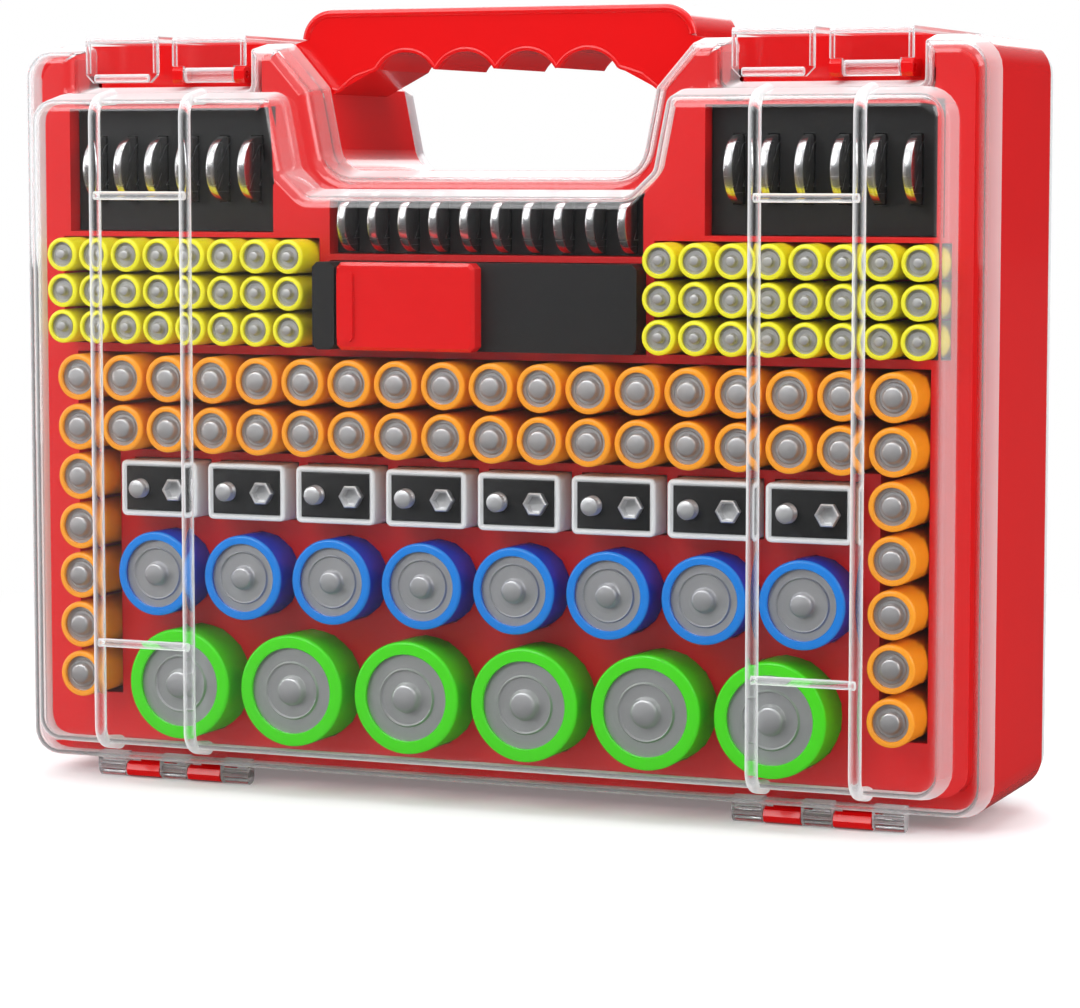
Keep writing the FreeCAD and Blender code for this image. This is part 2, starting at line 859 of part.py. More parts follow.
def make_front_deck():
    """Front tray: a plate with a skirt, and a well of the right depth for every group of cells."""
    plate = deck_form(
        front_deck_half_width, front_deck_bottom, front_deck_top, front_deck_margin,
        -deck_face, -body_half_depth,
    )
    inner = deck_form(
        front_deck_half_width - deck_skirt, front_deck_bottom + deck_skirt, front_deck_top - deck_skirt,
        front_deck_margin + deck_skirt, -deck_face + deck_plate, overrun - body_half_depth,
    )
    shapes = [plate.cut(inner)]
    wells = front_wells()
    shapes += [well_block(*place) for place in wells]
    c_radius = c_diameter / 2
    d_radius = d_diameter / 2
    nine_back = nine_volt_length - nine_volt_end
    shapes.append(well_block(
        c_places[0] - c_radius, c_places[-1] + c_radius, c_row - c_radius, c_row + c_radius, c_length - c_end,
    ))
    shapes.append(well_block(
        d_places[0] - d_radius, d_places[-1] + d_radius, d_row - d_radius, d_row + d_radius, d_length - d_end,
    ))
    shapes.append(well_block(
        nine_volt_places[0] - nine_volt_width / 2, nine_volt_places[-1] + nine_volt_width / 2,
        nine_volt_row - nine_volt_height / 2, nine_volt_row + nine_volt_height / 2, nine_back,
    ))
    body = fuse_all(shapes)
    cuts = [well(*place) for place in wells]
    for place in c_places:
        cuts.append(upright_bar(place, c_row, c_radius + cell_clearance, -panel_face, c_length - c_end))
    for place in d_places:
        cuts.append(upright_bar(place, d_row, d_radius + cell_clearance, -panel_face, d_length - d_end))
    for place in nine_volt_places:
        cuts.append(well(
            place - nine_volt_width / 2, place + nine_volt_width / 2,
            nine_volt_row - nine_volt_height / 2, nine_volt_row + nine_volt_height / 2, nine_back,
        ))
    return body.cut(fuse_all(cuts))


def rear_row_height(drop):
    """Height of a row of lying cells, counted down from the top row."""
    return rear_top_row - drop


def rear_axis(diameter):
    """Depth of a lying cell's axis: it stands out of the deck by a share of its radius."""
    return deck_face + rear_axis_share * diameter / 2


def row_spans(half_span, shares):
    """Ends of the cells of one row: the span less its gaps is shared out."""
    room = half_span + half_span - rear_cell_gap * (len(shares) - 1)
    spans = []
    low = -half_span
    for share in shares:
        high = low + room * share / sum(shares)
        spans.append((low, high))
        low = high + rear_cell_gap
    return spans


def rear_cell_groups():
    """Every lying cell by its kind: diameter, then the ends and the height of each cell."""
    full = rear_span_half
    ends = [(-full, -full + wide_length), (full - wide_length, full)]
    wide = [(span, rear_row_height(i * wide_pitch)) for i in range(wide_rows) for span in ends]
    camera = [
        (span, rear_row_height(i * camera_pitch))
        for i in range(camera_rows) for span in row_spans(camera_span_half, camera_length_shares)
    ]
    half = [
        (span, rear_row_height(half_row_drop)) for span in row_spans(camera_span_half, half_length_shares)
    ]
    short = [(span, rear_row_height(short_row_drop)) for span in row_spans(full, [1] * short_columns)]
    medium = [
        (span, rear_row_height(medium_row_drop + i * medium_pitch))
        for i in range(medium_rows) for span in row_spans(full, [1] * medium_columns)
    ]
    last = rear_row_height(medium_row_drop + medium_rows * medium_pitch)
    medium += [((-full, -full + medium_end_length), last), ((full - medium_end_length, full), last)]
    slim = [(span, last) for span in row_spans(slim_span_half, slim_length_shares)]
    thin = [
        (span, rear_row_height(thin_row_drop + i * thin_pitch))
        for i in range(thin_rows) for span in row_spans(full, [1] * thin_columns)
    ]
    tiny = [
        (span, rear_row_height(tiny_row_drop + i * tiny_pitch))
        for i in range(tiny_rows) for span in row_spans(full, [1] * tiny_columns)
    ]
    return [
        ("rear_wide_cells", wide_diameter, wide), ("rear_camera_cells", camera_diameter, camera),
        ("rear_half_cells", half_diameter, half), ("rear_short_cells", short_diameter, short),
        ("rear_medium_cells", medium_diameter, medium), ("rear_slim_cells", slim_diameter, slim),
        ("rear_thin_cells", thin_diameter, thin), ("rear_tiny_cells", tiny_diameter, tiny),
    ]


def lying_cells(diameter, places):
    """Cells of one kind, each along the case's width in its trough."""
    return [
        sided_cross_bar(rear_axis(diameter), height, diameter / 2, low, high)
        for (low, high), height in places
    ]


def rear_channels():
    """Each trough as its ends along the width, its height and its cell diameter."""
    full = rear_span_half
    channels = []
    for i in range(wide_rows):
        height = rear_row_height(i * wide_pitch)
        channels.append((-full, -full + wide_length, height, wide_diameter))
        channels.append((full - wide_length, full, height, wide_diameter))
    for i in range(camera_rows):
        height = rear_row_height(i * camera_pitch)
        channels.append((-camera_span_half, camera_span_half, height, camera_diameter))
    channels.append((-camera_span_half, camera_span_half, rear_row_height(half_row_drop), half_diameter))
    channels.append((-full, full, rear_row_height(short_row_drop), short_diameter))
    for i in range(medium_rows):
        channels.append((-full, full, rear_row_height(medium_row_drop + i * medium_pitch), medium_diameter))
    last = rear_row_height(medium_row_drop + medium_rows * medium_pitch)
    channels.append((-full, -full + medium_end_length, last, medium_diameter))
    channels.append((full - medium_end_length, full, last, medium_diameter))
    channels.append((-slim_span_half, slim_span_half, last, slim_diameter))
    for i in range(thin_rows):
        channels.append((-full, full, rear_row_height(thin_row_drop + i * thin_pitch), thin_diameter))
    for i in range(tiny_rows):
        channels.append((-full, full, rear_row_height(tiny_row_drop + i * tiny_pitch), tiny_diameter))
    return channels


def make_rear_deck():
    """Rear tray: a plate with half-round troughs, two holder pockets and a skirt."""
    face = deck_face
    plate = deck_form(
        rear_deck_half_width, rear_deck_bottom, rear_deck_top, rear_deck_margin,
        -face, -groove_floor - groove_floor_thickness,
    )
    inner = deck_form(
        rear_deck_half_width - deck_skirt, rear_deck_bottom + deck_skirt, rear_deck_top - deck_skirt,
        rear_deck_margin + deck_skirt, -face + rear_plate, overrun,
    )
    shapes = [turned_round(plate.cut(inner))]
    cuts = []
    back = -holder_face + holder_depth
    for side in (-1, 1):
        low = min(side * rear_holder_inner, side * rear_holder_outer)
        high = max(side * rear_holder_inner, side * rear_holder_outer)
        shapes.append(turned_round(well_block(low, high, rear_holder_bottom, rear_holder_top, back)))
        cuts.append(turned_round(well(low, high, rear_holder_bottom, rear_holder_top, back)))
    deck = fuse_all(shapes)
    for x_low, x_high, height, diameter in rear_channels():
        cuts.append(sided_cross_bar(
            rear_axis(diameter), height, diameter / 2 + cell_clearance,
            x_low - cell_clearance, x_high + cell_clearance,
        ))
    for x, z in deck_pin_places():
        cuts.append(pin_bar(x, z, face - pin_length + pin_head_proud, face + overrun))
    return deck.cut(fuse_all(cuts))


def deck_pin_places():
    """Places of the four pins whose heads show on the rear deck."""
    return [(side * pin_upper_place, pin_upper_height) for side in (-1, 1)]


def pin_bar(x, z, from_depth, to_depth):
    """Assembly pin along the case's depth."""
    return sided_bar(Vector(x, from_depth, z), Vector(0, 1, 0), pin_radius, to_depth - from_depth, bar_sides)


def make_assembly_pins():
    """Pins whose heads stand a little proud of the rear deck."""
    pins = []
    for x, z in deck_pin_places():
        pins.append(pin_bar(x, z, deck_face - pin_length + pin_head_proud, deck_face + pin_head_proud))
    return pins


# Coin cells in their holders

def coin_holder(x_low, x_high, z_low, z_high, places, diameter, height):
    """Black block in a well of the front deck, with one slot for every coin cell."""
    solid = block(x_low, x_high, -holder_face, -holder_face + holder_depth, z_low, z_high)
    half_slot = coin_thickness / 2 + coin_slot_gap
    reach = diameter / 2 + coin_slot_gap
    for place in places:
        solid = solid.cut(block(
            place - half_slot, place + half_slot,
            -holder_face - overrun, -holder_face - coin_sink + reach,
            height - reach, height + reach,
        ))
    return solid


side_middle = (side_holder_inner + side_holder_outer) / 2
side_height = (side_holder_bottom + side_holder_top) / 2
middle_height = (middle_holder_bottom + middle_holder_top) / 2
rear_middle = (rear_holder_inner + rear_holder_outer) / 2
rear_height = (rear_holder_bottom + rear_holder_top) / 2
right_coins = [side_middle + place for place in spread(side_coin_count, side_coin_pitch)]
left_coins = [-place for place in right_coins]
middle_coins = spread(middle_coin_count, middle_coin_pitch)
rear_coins_right = [rear_middle + place for place in spread(rear_coin_count, rear_coin_pitch)]
rear_coins_left = [-place for place in rear_coins_right]


# Lids

def lid_shell():
    """Clear moulding: a drafted rim, a flange, and a raised panel, all of one wall."""
    rim = drafted(lid_outline, lid_radii, 0, rim_draft, -body_half_depth, -flange_depth)
    panel = drafted(panel_outline, panel_radii, 0, panel_draft, -flange_depth + lid_wall, -panel_face)
    rim_room = drafted(
        lid_outline, lid_radii, lid_wall, rim_draft + lid_wall, -body_half_depth, -flange_depth + lid_wall
    )
    panel_room = drafted(
        panel_outline, panel_radii, lid_wall, panel_draft + lid_wall, -flange_depth + lid_wall,
        -panel_face + lid_wall,
    )
    solid = rim.fuse(panel)
    return solid.cut(rim_room).cut(panel_room)


def upright_rib(place):
    """Rib that runs up the panel and bends back over both of its edges to the flange."""
    face = -panel_face - rib_proud
    root = -flange_depth + lid_wall / 2
    low = panel_bottom - rib_proud
    high = panel_top + rib_proud
    outline = [
        (low, root), (low + panel_draft, face), (high - panel_draft, face), (high, root),
    ]
    points = [Vector(place - rib_radius, y, z) for z, y in outline]
    rib = Part.Face(Part.makePolygon(points + points[:1])).extrude(Vector(rib_radius + rib_radius, 0, 0))
    crest = [
        edge for edge in rib.Edges
        if edge.BoundBox.XLength < smallest_radius and edge.BoundBox.YMin < root - smallest_radius
    ]
    return rib.makeChamfer(rib_chamfer, crest)


def lid_ribs():
    """Ribs on the panel: two upright pairs that run over its edges, joined by short bars."""
    ribs = []
    for side in (-1, 1):
        for place in (side * rib_inner_place, side * rib_outer_place):
            ribs.append(upright_rib(place))
        for height in (rib_bar_high, rib_bar_low):
            near = side * rib_inner_place
            far = side * rib_outer_place
            bar = block(
                min(near, far), max(near, far), -panel_face - rib_proud, -panel_face + lid_wall / 2,
                height - rib_radius, height + rib_radius,
            )
            crest = [
                edge for edge in bar.Edges
                if edge.BoundBox.XLength > rib_radius and edge.BoundBox.YMax < -panel_face
            ]
            ribs.append(bar.makeChamfer(rib_chamfer, crest))
    return ribs


def make_lid():
    """Front lid with its ribs, and the clear knuckles and hinge bars of both hinges."""
    spans = both_sides(knuckle_spans(0))
    shell = lid_shell()
    room = drafted(
        panel_outline, panel_radii, lid_wall / 2, panel_draft + lid_wall / 2, -body_half_depth,
        -panel_face + lid_wall / 2,
    )
    ribs = [rib.cut(room) for rib in lid_ribs()]
    shapes = [shell] + ribs
    shapes += [barrel(low, high) for low, high in spans]
    shapes += [lid_web(low, high) for low, high in spans]
    for low, high in both_sides([(knuckle_edges[0] + overrun, knuckle_edges[-1] - overrun)]):
        shapes.append(sided_cross_bar(-hinge_depth, hinge_height, hinge_bar_radius, low, high))
    return fuse_all(shapes)


def lid_pieces(lid):
    """A lid as its main panel and the top corners at the left and the right of the hand opening."""
    reach = case_half_width + overrun
    face = -panel_face - rib_proud - overrun
    back = overrun - body_half_depth
    high = case_top + overrun
    main = lid.cut(block(-reach, reach, face, back, lid_corner_foot, high))
    left = lid.common(block(-reach, 0, face, back, lid_corner_foot, high))
    right = lid.common(block(0, reach, face, back, lid_corner_foot, high))
    return main, left, right


# Straps

def make_strap(place):
    """Clear strap hinged at the front: bar, front leg, bridge over the body, and hanging flap."""
    half = strap_width / 2
    top_low = case_top + strap_top_gap
    top_high = top_low + strap_thickness
    leg_front = -strap_axis_depth - strap_bar_radius
    profile = [
        (leg_front, strap_axis_height),
        (leg_front + strap_thickness, strap_axis_height),
        (leg_front + strap_thickness, top_low),
        (flap_outer_depth - strap_thickness, top_low),
        (flap_outer_depth - strap_thickness, flap_bottom),
        (flap_outer_depth, flap_bottom),
        (flap_outer_depth, top_high),
        (leg_front, top_high),
    ]
    corners = [Vector(place - half, y, z) for y, z in profile]
    band = Part.Face(Part.makePolygon(corners + corners[:1])).extrude(Vector(strap_width, 0, 0))
    outer_edges = [
        edge for edge in band.Edges
        if edge.BoundBox.XLength > half and edge.BoundBox.ZMin > top_low + strap_thickness / 2
    ]
    band = band.makeChamfer(strap_chamfer, outer_edges)
    bar = cross_bar(
        -strap_axis_depth, strap_axis_height, strap_bar_radius,
        place - strap_bar_width / 2, place + strap_bar_width / 2,
    )
    shape = band.fuse(bar)
    for side in (-1, 1):
        near = place + side * strap_bar_width / 2
        far = place + side * (half + overrun)
        shape = shape.cut(block(
            min(near, far), max(near, far), leg_front - overrun, -body_half_depth,
            strap_axis_height - ear_half_height - overrun, strap_axis_height + ear_half_height + ear_gap,
        ))
        corner = place + side * half
        points = [
            Vector(corner, 0, flap_bottom),
            Vector(corner - side * flap_chamfer, 0, flap_bottom),
            Vector(corner, 0, flap_bottom + flap_chamfer),
        ]
        corner_face = Part.Face(Part.makePolygon(points + points[:1]))
        wedge = corner_face.extrude(Vector(0, flap_outer_depth + overrun, 0))
        shape = shape.cut(wedge)
        start = place + side * (strap_bar_width / 2 - trunnion_length)
        stop = place + side * (strap_bar_width / 2 + trunnion_length)
        shape = shape.fuse(sided_cross_bar(
            -strap_axis_depth, strap_axis_height, trunnion_radius, min(start, stop), max(start, stop)
        ))
    return shape.removeSplitter()


# Tester

def make_tester_body():
    """Dark bed of the tester, with a raised contact block at its left end."""
    bed = chamfered_block(
        tester_left, tester_right, tester_bottom, tester_top, tester_chamfer, -tester_face, -tester_seat
    )
    end = chamfered_block(
        tester_left, tester_left + tester_end_width, tester_bottom, tester_top, tester_chamfer,
        -tester_face - tester_end_rise, -tester_face + overrun,
    )
    return fuse_all([bed, end])


def make_tester_jaw():
    """Red jaw that slides on the bed, with a grip ridge at its left."""
    plate = chamfered_block(
        jaw_left, jaw_left + jaw_width, tester_bottom, tester_top, tester_chamfer,
        -jaw_face, -tester_face - jaw_gap,
    )
    front_edges = [edge for edge in plate.Edges if edge.BoundBox.YMax < -jaw_face + smallest_radius]
    plate = plate.makeChamfer(jaw_chamfer, front_edges)
    ridge = chamfered_block(
        jaw_left + jaw_chamfer, jaw_left + jaw_grip_width,
        tester_bottom + jaw_chamfer + tester_chamfer, tester_top - jaw_chamfer - tester_chamfer, jaw_chamfer,
        -jaw_face - jaw_grip_rise, -jaw_face + jaw_chamfer,
    )
    return fuse_all([plate, ridge])


# Cells

def make_aa_cells():
    """Two full rows and the two columns below their ends."""
    places = [(x, z) for z in aa_rows for x in aa_places]
    places += [(x, z) for z in aa_side_places for x in (aa_places[0], aa_places[-1])]
    along = Vector(0, 1, 0)
    return [small_cell(Vector(x, -aa_end, z), along, aa_diameter / 2, aa_length) for x, z in places]


def make_aaa_cells():
    """Three rows at each side of the tester."""
    along = Vector(0, 1, 0)
    cells = []
    for z in aaa_rows_list:
        for x in aaa_places + [-place for place in aaa_places]:
            cells.append(small_cell(Vector(x, -aaa_end, z), along, aaa_diameter / 2, aaa_length))
    return cells


def make_nine_volt_cells():
    """Blocks with blunted corners."""
    cells = []
    for place in nine_volt_places:
        cells.append(chamfered_block(
            place - nine_volt_width / 2, place + nine_volt_width / 2,
            nine_volt_row - nine_volt_height / 2, nine_volt_row + nine_volt_height / 2,
            nine_volt_chamfer, -nine_volt_end, -nine_volt_end + nine_volt_length,
        ))
    return cells


# Writing every piece

save("front_shell", [make_front_shell()])
save("rear_shell", [make_rear_shell()])
save("front_deck", [make_front_deck()])
save("rear_deck", [make_rear_deck()])
save("assembly_pins", make_assembly_pins())

save("coin_holder_front_right", [coin_holder(
    side_holder_inner, side_holder_outer, side_holder_bottom, side_holder_top,
    right_coins, coin_diameter, side_height,
)])
save("coin_holder_front_left", [coin_holder(
    -side_holder_outer, -side_holder_inner, side_holder_bottom, side_holder_top,
    left_coins, coin_diameter, side_height,
)])
save("coin_holder_front_middle", [coin_holder(
    -middle_holder_half, middle_holder_half, middle_holder_bottom, middle_holder_top,
    middle_coins, middle_coin_diameter, middle_height,
)])
save("coin_holder_rear_left", [turned_round(coin_holder(
    rear_holder_inner, rear_holder_outer, rear_holder_bottom, rear_holder_top,
    rear_coins_right, rear_coin_diameter, rear_height,
))])
save("coin_holder_rear_right", [turned_round(coin_holder(
    -rear_holder_outer, -rear_holder_inner, rear_holder_bottom, rear_holder_top,
    rear_coins_left, rear_coin_diameter, rear_height,
))])

lid_main, lid_left, lid_right = lid_pieces(make_lid())
save("front_lid", [lid_main])
save("front_lid_top_left", [lid_left])
save("front_lid_top_right", [lid_right])
save("rear_lid", [turned_round(lid_main)])
save("rear_lid_top_left", [turned_round(lid_right)])
save("rear_lid_top_right", [turned_round(lid_left)])

inner_strap = make_strap(-strap_inner_place)
outer_strap = make_strap(strap_outer_place)
save("latch_front_inner", [inner_strap])
save("latch_front_outer", [outer_strap])
save("latch_rear_inner", [turned_round(inner_strap)])
save("latch_rear_outer", [turned_round(outer_strap)])

save("tester_body", [make_tester_body()])
save("tester_jaw", [make_tester_jaw()])

save("aa_cells", make_aa_cells())
save("aaa_cells", make_aaa_cells())
save("c_cells", [upright_bar(x, c_row, c_diameter / 2, -c_end, c_length - c_end) for x in c_places])
save("d_cells", [upright_bar(x, d_row, d_diameter / 2, -d_end, d_length - d_end) for x in d_places])
save("nine_volt_cells", make_nine_volt_cells())
for kind, diameter, places in rear_cell_groups():
    save(kind, lying_cells(diameter, places))
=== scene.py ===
# %% [markdown]
# # A carry case for household cells
# The object is a flat, double-sided carry case. A red moulded body with a handle holds a tray of cells on
# each side, and a clear lid closes each tray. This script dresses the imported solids: it starts with the
# frame, which is fixed, and every new piece is placed in the same metres and rides on one of its bodies.

# %% The fixed frame
import math

import bmesh
import bpy
import numpy as np
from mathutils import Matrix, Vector
from mathutils.geometry import tessellate_polygon


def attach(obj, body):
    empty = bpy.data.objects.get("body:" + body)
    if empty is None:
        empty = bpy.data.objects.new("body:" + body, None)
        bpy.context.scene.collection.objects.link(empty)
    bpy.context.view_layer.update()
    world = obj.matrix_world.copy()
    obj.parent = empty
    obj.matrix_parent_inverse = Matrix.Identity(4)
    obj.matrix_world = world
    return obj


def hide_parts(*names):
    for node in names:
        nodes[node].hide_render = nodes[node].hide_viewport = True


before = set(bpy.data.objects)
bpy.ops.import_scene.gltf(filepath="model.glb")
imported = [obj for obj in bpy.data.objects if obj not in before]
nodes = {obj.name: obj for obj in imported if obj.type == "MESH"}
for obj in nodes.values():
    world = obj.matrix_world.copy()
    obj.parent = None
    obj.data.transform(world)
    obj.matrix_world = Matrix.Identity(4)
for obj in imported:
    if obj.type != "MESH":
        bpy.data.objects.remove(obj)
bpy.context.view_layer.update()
MM = 0.001

# %% [markdown]
# ## Camera, floor and light
# The case stands on a white floor, turned by about twenty degrees. The camera was worked out from the
# rows of cells, whose pitch is known: a long lens from the right, a little above the floor.


# %% Camera
def new_object(name, data):
    """An object with its data, placed in the scene."""
    item = bpy.data.objects.new(name, data)
    bpy.context.scene.collection.objects.link(item)
    return item


YAW = math.radians(22.4526)
PITCH = math.radians(5.3354)
camera_data = bpy.data.cameras.new("camera")
camera_data.sensor_width = 36.0
camera_data.lens = 118.476
camera_data.shift_x = 0.0013
camera_data.shift_y = -0.0047
camera = new_object("camera", camera_data)
camera.location = (0.419575, -1.007446, 0.190897)
looking = Vector((-math.sin(YAW) * math.cos(PITCH), math.cos(YAW) * math.cos(PITCH), -math.sin(PITCH)))
camera.rotation_mode = "QUATERNION"
camera.rotation_quaternion = looking.to_track_quat("-Z", "Y")
bpy.context.scene.camera = camera
bpy.context.scene.view_settings.view_transform = "Standard"
print("camera looks along", [round(v, 3) for v in looking])


# %% Helpers for node trees
def add_node(tree, kind, settings=None, **properties):
    """One shader node, its properties and the plain values of its named inputs."""
    node = tree.nodes.new(kind)
    for key, value in properties.items():
        setattr(node, key, value)
    for key, value in (settings or {}).items():
        node.inputs[key].default_value = value
    return node


def add_math(tree, operation, second=None, clamp=False):
    """One math node, with its second number when that isn't linked."""
    node = add_node(tree, "ShaderNodeMath", operation=operation, use_clamp=clamp)
    if second is not None:
        node.inputs[1].default_value = second
    return node


def add_range(tree, start, end, least, most):
    """A smooth step from one value to another between two limits."""
    limits = {"From Min": start, "From Max": end, "To Min": least, "To Max": most}
    return add_node(tree, "ShaderNodeMapRange", limits, interpolation_type="SMOOTHSTEP")


def link(tree, *wires):
    """Wires of a node and its output, then a node and its input, each socket by name or number."""
    for source, given, target, taken in wires:
        tree.links.new(source.outputs[given], target.inputs[taken])


def empty_material(name):
    """A material with nothing but its output, and the output."""
    material = bpy.data.materials.new(name)
    material.use_nodes = True
    material.node_tree.nodes.clear()
    return material, material.node_tree, material.node_tree.nodes.new("ShaderNodeOutputMaterial")


# %% [markdown]
# The world is white where the camera looks at it, straight or through a lid, and a quiet grey where it
# lights the case. In reflections it is a studio: white above and at the sides, dark low down. Light Path
# tells the rays apart.

# %% World
world = bpy.data.worlds.new("world")
bpy.context.scene.world = world
world.use_nodes = True
world.node_tree.nodes.clear()
tree = world.node_tree
path_kind = add_node(tree, "ShaderNodeLightPath")
seen = add_math(tree, "MAXIMUM")
bounced = add_math(tree, "MAXIMUM")
direct = add_math(tree, "SUBTRACT", clamp=True)
glossed = add_math(tree, "MINIMUM", 1.0)
lit = add_node(tree, "ShaderNodeBackground", {"Color": (0.95, 0.97, 1.0, 1.0), "Strength": 0.62})
dim = add_node(tree, "ShaderNodeBackground", {"Color": (0.97, 0.98, 1.0, 1.0)})
toward = add_node(tree, "ShaderNodeTexCoord")
parts = add_node(tree, "ShaderNodeSeparateXYZ")
above = add_range(tree, 0.12, 0.55, 0.06, 1.0)
at_left = add_range(tree, -0.55, -0.95, 0.06, 1.0)
at_right = add_range(tree, 0.7, 1.0, 0.06, 0.8)
sides = add_math(tree, "MAXIMUM")
brightest = add_math(tree, "MAXIMUM")
link(
    tree,
    (toward, "Generated", parts, 0), (parts, "Z", above, "Value"), (parts, "X", at_left, "Value"),
    (parts, "X", at_right, "Value"), (at_left, 0, sides, 0), (at_right, 0, sides, 1),
    (sides, 0, brightest, 0), (above, 0, brightest, 1), (brightest, 0, dim, "Strength"),
)
white = add_node(tree, "ShaderNodeBackground", {"Color": (1.0, 1.0, 1.0, 1.0), "Strength": 1.0})
room = add_node(tree, "ShaderNodeMixShader")
mixed = add_node(tree, "ShaderNodeMixShader")
world_out = add_node(tree, "ShaderNodeOutputWorld")
link(
    tree,
    (path_kind, "Is Camera Ray", seen, 0), (path_kind, "Is Transmission Ray", seen, 1),
    (path_kind, "Glossy Depth", bounced, 0), (path_kind, "Diffuse Depth", bounced, 1),
    (seen, 0, direct, 0), (bounced, 0, direct, 1), (path_kind, "Glossy Depth", glossed, 0),
    (glossed, 0, room, "Fac"), (lit, 0, room, 1), (dim, 0, room, 2), (direct, 0, mixed, "Fac"),
    (room, 0, mixed, 1), (white, 0, mixed, 2), (mixed, 0, world_out, "Surface"),
)
print("world: grey light, white background")


# %% Lamps
def soft_lamp(name, place, target, size, power):
    """An area lamp of a width and a height at a place, facing a target."""
    data = bpy.data.lights.new(name, "AREA")
    data.shape = "RECTANGLE"
    data.size, data.size_y = size
    data.energy = power
    lamp = new_object(name, data)
    lamp.location = place
    lamp.rotation_mode = "QUATERNION"
    lamp.rotation_quaternion = (Vector(target) - Vector(place)).to_track_quat("-Z", "Y")


soft_lamp("lamp_front", (-0.5, -1.1, 0.95), (0, 0, 0.1), (0.9, 0.9), 7.5)
soft_lamp("lamp_left", (-1.25, -0.8, 0.35), (0, 0, 0.12), (0.22, 1.2), 3.5)
soft_lamp("lamp_right", (1.1, -0.3, 0.7), (0, 0, 0.1), (0.7, 0.7), 5.5)
soft_lamp("lamp_top", (0.0, -0.1, 1.2), (0, 0, 0.1), (1.2, 0.6), 6.0)
soft_lamp("lamp_back", (-0.3, 1.2, 0.8), (0, 0, 0.1), (0.9, 0.9), 7.0)
print("five soft lamps")

# %% [markdown]
# The floor is one pale sheet that keeps the soft shadow near the case. Farther out it turns to plain
# white for the camera and for what is seen through a lid, so there is no horizon. Reflections see it
# darker.

# %% Floor
FLOOR_HALF = 6
floor_corners = [(x * FLOOR_HALF, y * FLOOR_HALF, 0) for x, y in ((-1, -1), (1, -1), (1, 1), (-1, 1))]
floor_mesh = bpy.data.meshes.new("floor")
floor_mesh.from_pydata(floor_corners, [], [(0, 1, 2, 3)])
floor = new_object("floor", floor_mesh)
floor.location.z = -0.0002
floor_paint, tree, out = empty_material("floor_paint")
paint = add_node(tree, "ShaderNodeBsdfPrincipled", {"Base Color": (0.88, 0.88, 0.885, 1.0), "Roughness": 0.6})
glow, plain, faint = [
    add_node(tree, "ShaderNodeEmission", {"Color": (1.0, 1.0, 1.0, 1.0), "Strength": strength})
    for strength in (0.18, 1.0, 0.08)
]
rays = add_node(tree, "ShaderNodeLightPath")
straight = add_math(tree, "MAXIMUM")
glossed = add_math(tree, "MINIMUM", 1.0)
spot = add_node(tree, "ShaderNodeTexCoord")
distance = add_node(tree, "ShaderNodeVectorMath", operation="LENGTH")
fade = add_range(tree, 0.22, 0.55, 0.0, 1.0)
near = add_node(tree, "ShaderNodeAddShader")
open_floor = add_node(tree, "ShaderNodeMixShader")
by_ray = add_node(tree, "ShaderNodeMixShader")
mirrored = add_node(tree, "ShaderNodeMixShader")
link(
    tree,
    (spot, "Object", distance, 0), (distance, "Value", fade, "Value"),
    (rays, "Is Camera Ray", straight, 0), (rays, "Is Transmission Ray", straight, 1),
    (paint, 0, near, 0), (glow, 0, near, 1), (fade, 0, open_floor, "Fac"), (near, 0, open_floor, 1),
    (plain, 0, open_floor, 2), (straight, 0, by_ray, "Fac"), (paint, 0, by_ray, 1),
    (open_floor, 0, by_ray, 2), (rays, "Glossy Depth", glossed, 0), (glossed, 0, mirrored, "Fac"),
    (by_ray, 0, mirrored, 1), (faint, 0, mirrored, 2), (mirrored, 0, out, "Surface"),
)
floor_mesh.materials.append(floor_paint)
print("floor at z = 0")

# %% [markdown]
# ## Finishes
# Three effects serve more than one material, so each is a node group. "moulded_skin" gives a plastic its
# slight change of shade, its uneven gloss and the faint orange peel of a mould. "end_band" paints the
# folded edge of a cell's wrap lighter than its barrel: on the AA and C cells that is the wrap's own colour,
# on the AAA and D cells it is a painted highlight. "turned_metal" gives a pressed cap its fine rings,
# read from a map whose second coordinate is the radius.


# %% Node groups
def new_group(name, inputs, outputs):
    """An empty group with named sockets, its input node and its output node."""
    group = bpy.data.node_groups.new(name, "ShaderNodeTree")
    for socket, kind, value in inputs:
        made = group.interface.new_socket(socket, in_out="INPUT", socket_type=kind)
        made.default_value = value
    for socket, kind in outputs:
        group.interface.new_socket(socket, in_out="OUTPUT", socket_type=kind)
    return group, group.nodes.new("NodeGroupInput"), group.nodes.new("NodeGroupOutput")


NUMBER = "NodeSocketFloat"
COLOUR = "NodeSocketColor"
skin, taken, given = new_group(
    "moulded_skin",
    [("Color", COLOUR, (0.5, 0.5, 0.5, 1)), ("Shade", NUMBER, 0.06), ("Patch Scale", NUMBER, 22.0),
     ("Roughness", NUMBER, 0.2), ("Spread", NUMBER, 0.06), ("Peel Scale", NUMBER, 420.0)],
    [("Color", COLOUR), ("Roughness", NUMBER), ("Height", NUMBER)],
)
place = add_node(skin, "ShaderNodeTexCoord")
patches = add_node(skin, "ShaderNodeTexNoise", {"Detail": 3.0, "Roughness": 0.6})
peel = add_node(skin, "ShaderNodeTexNoise", {"Detail": 2.0, "Roughness": 0.5})
darker = add_node(skin, "ShaderNodeMix", data_type="RGBA", blend_type="MULTIPLY")
darker.inputs["B"].default_value = (0.0, 0.0, 0.0, 1.0)
amount = add_math(skin, "MULTIPLY")
rough_swing = add_math(skin, "MULTIPLY_ADD")
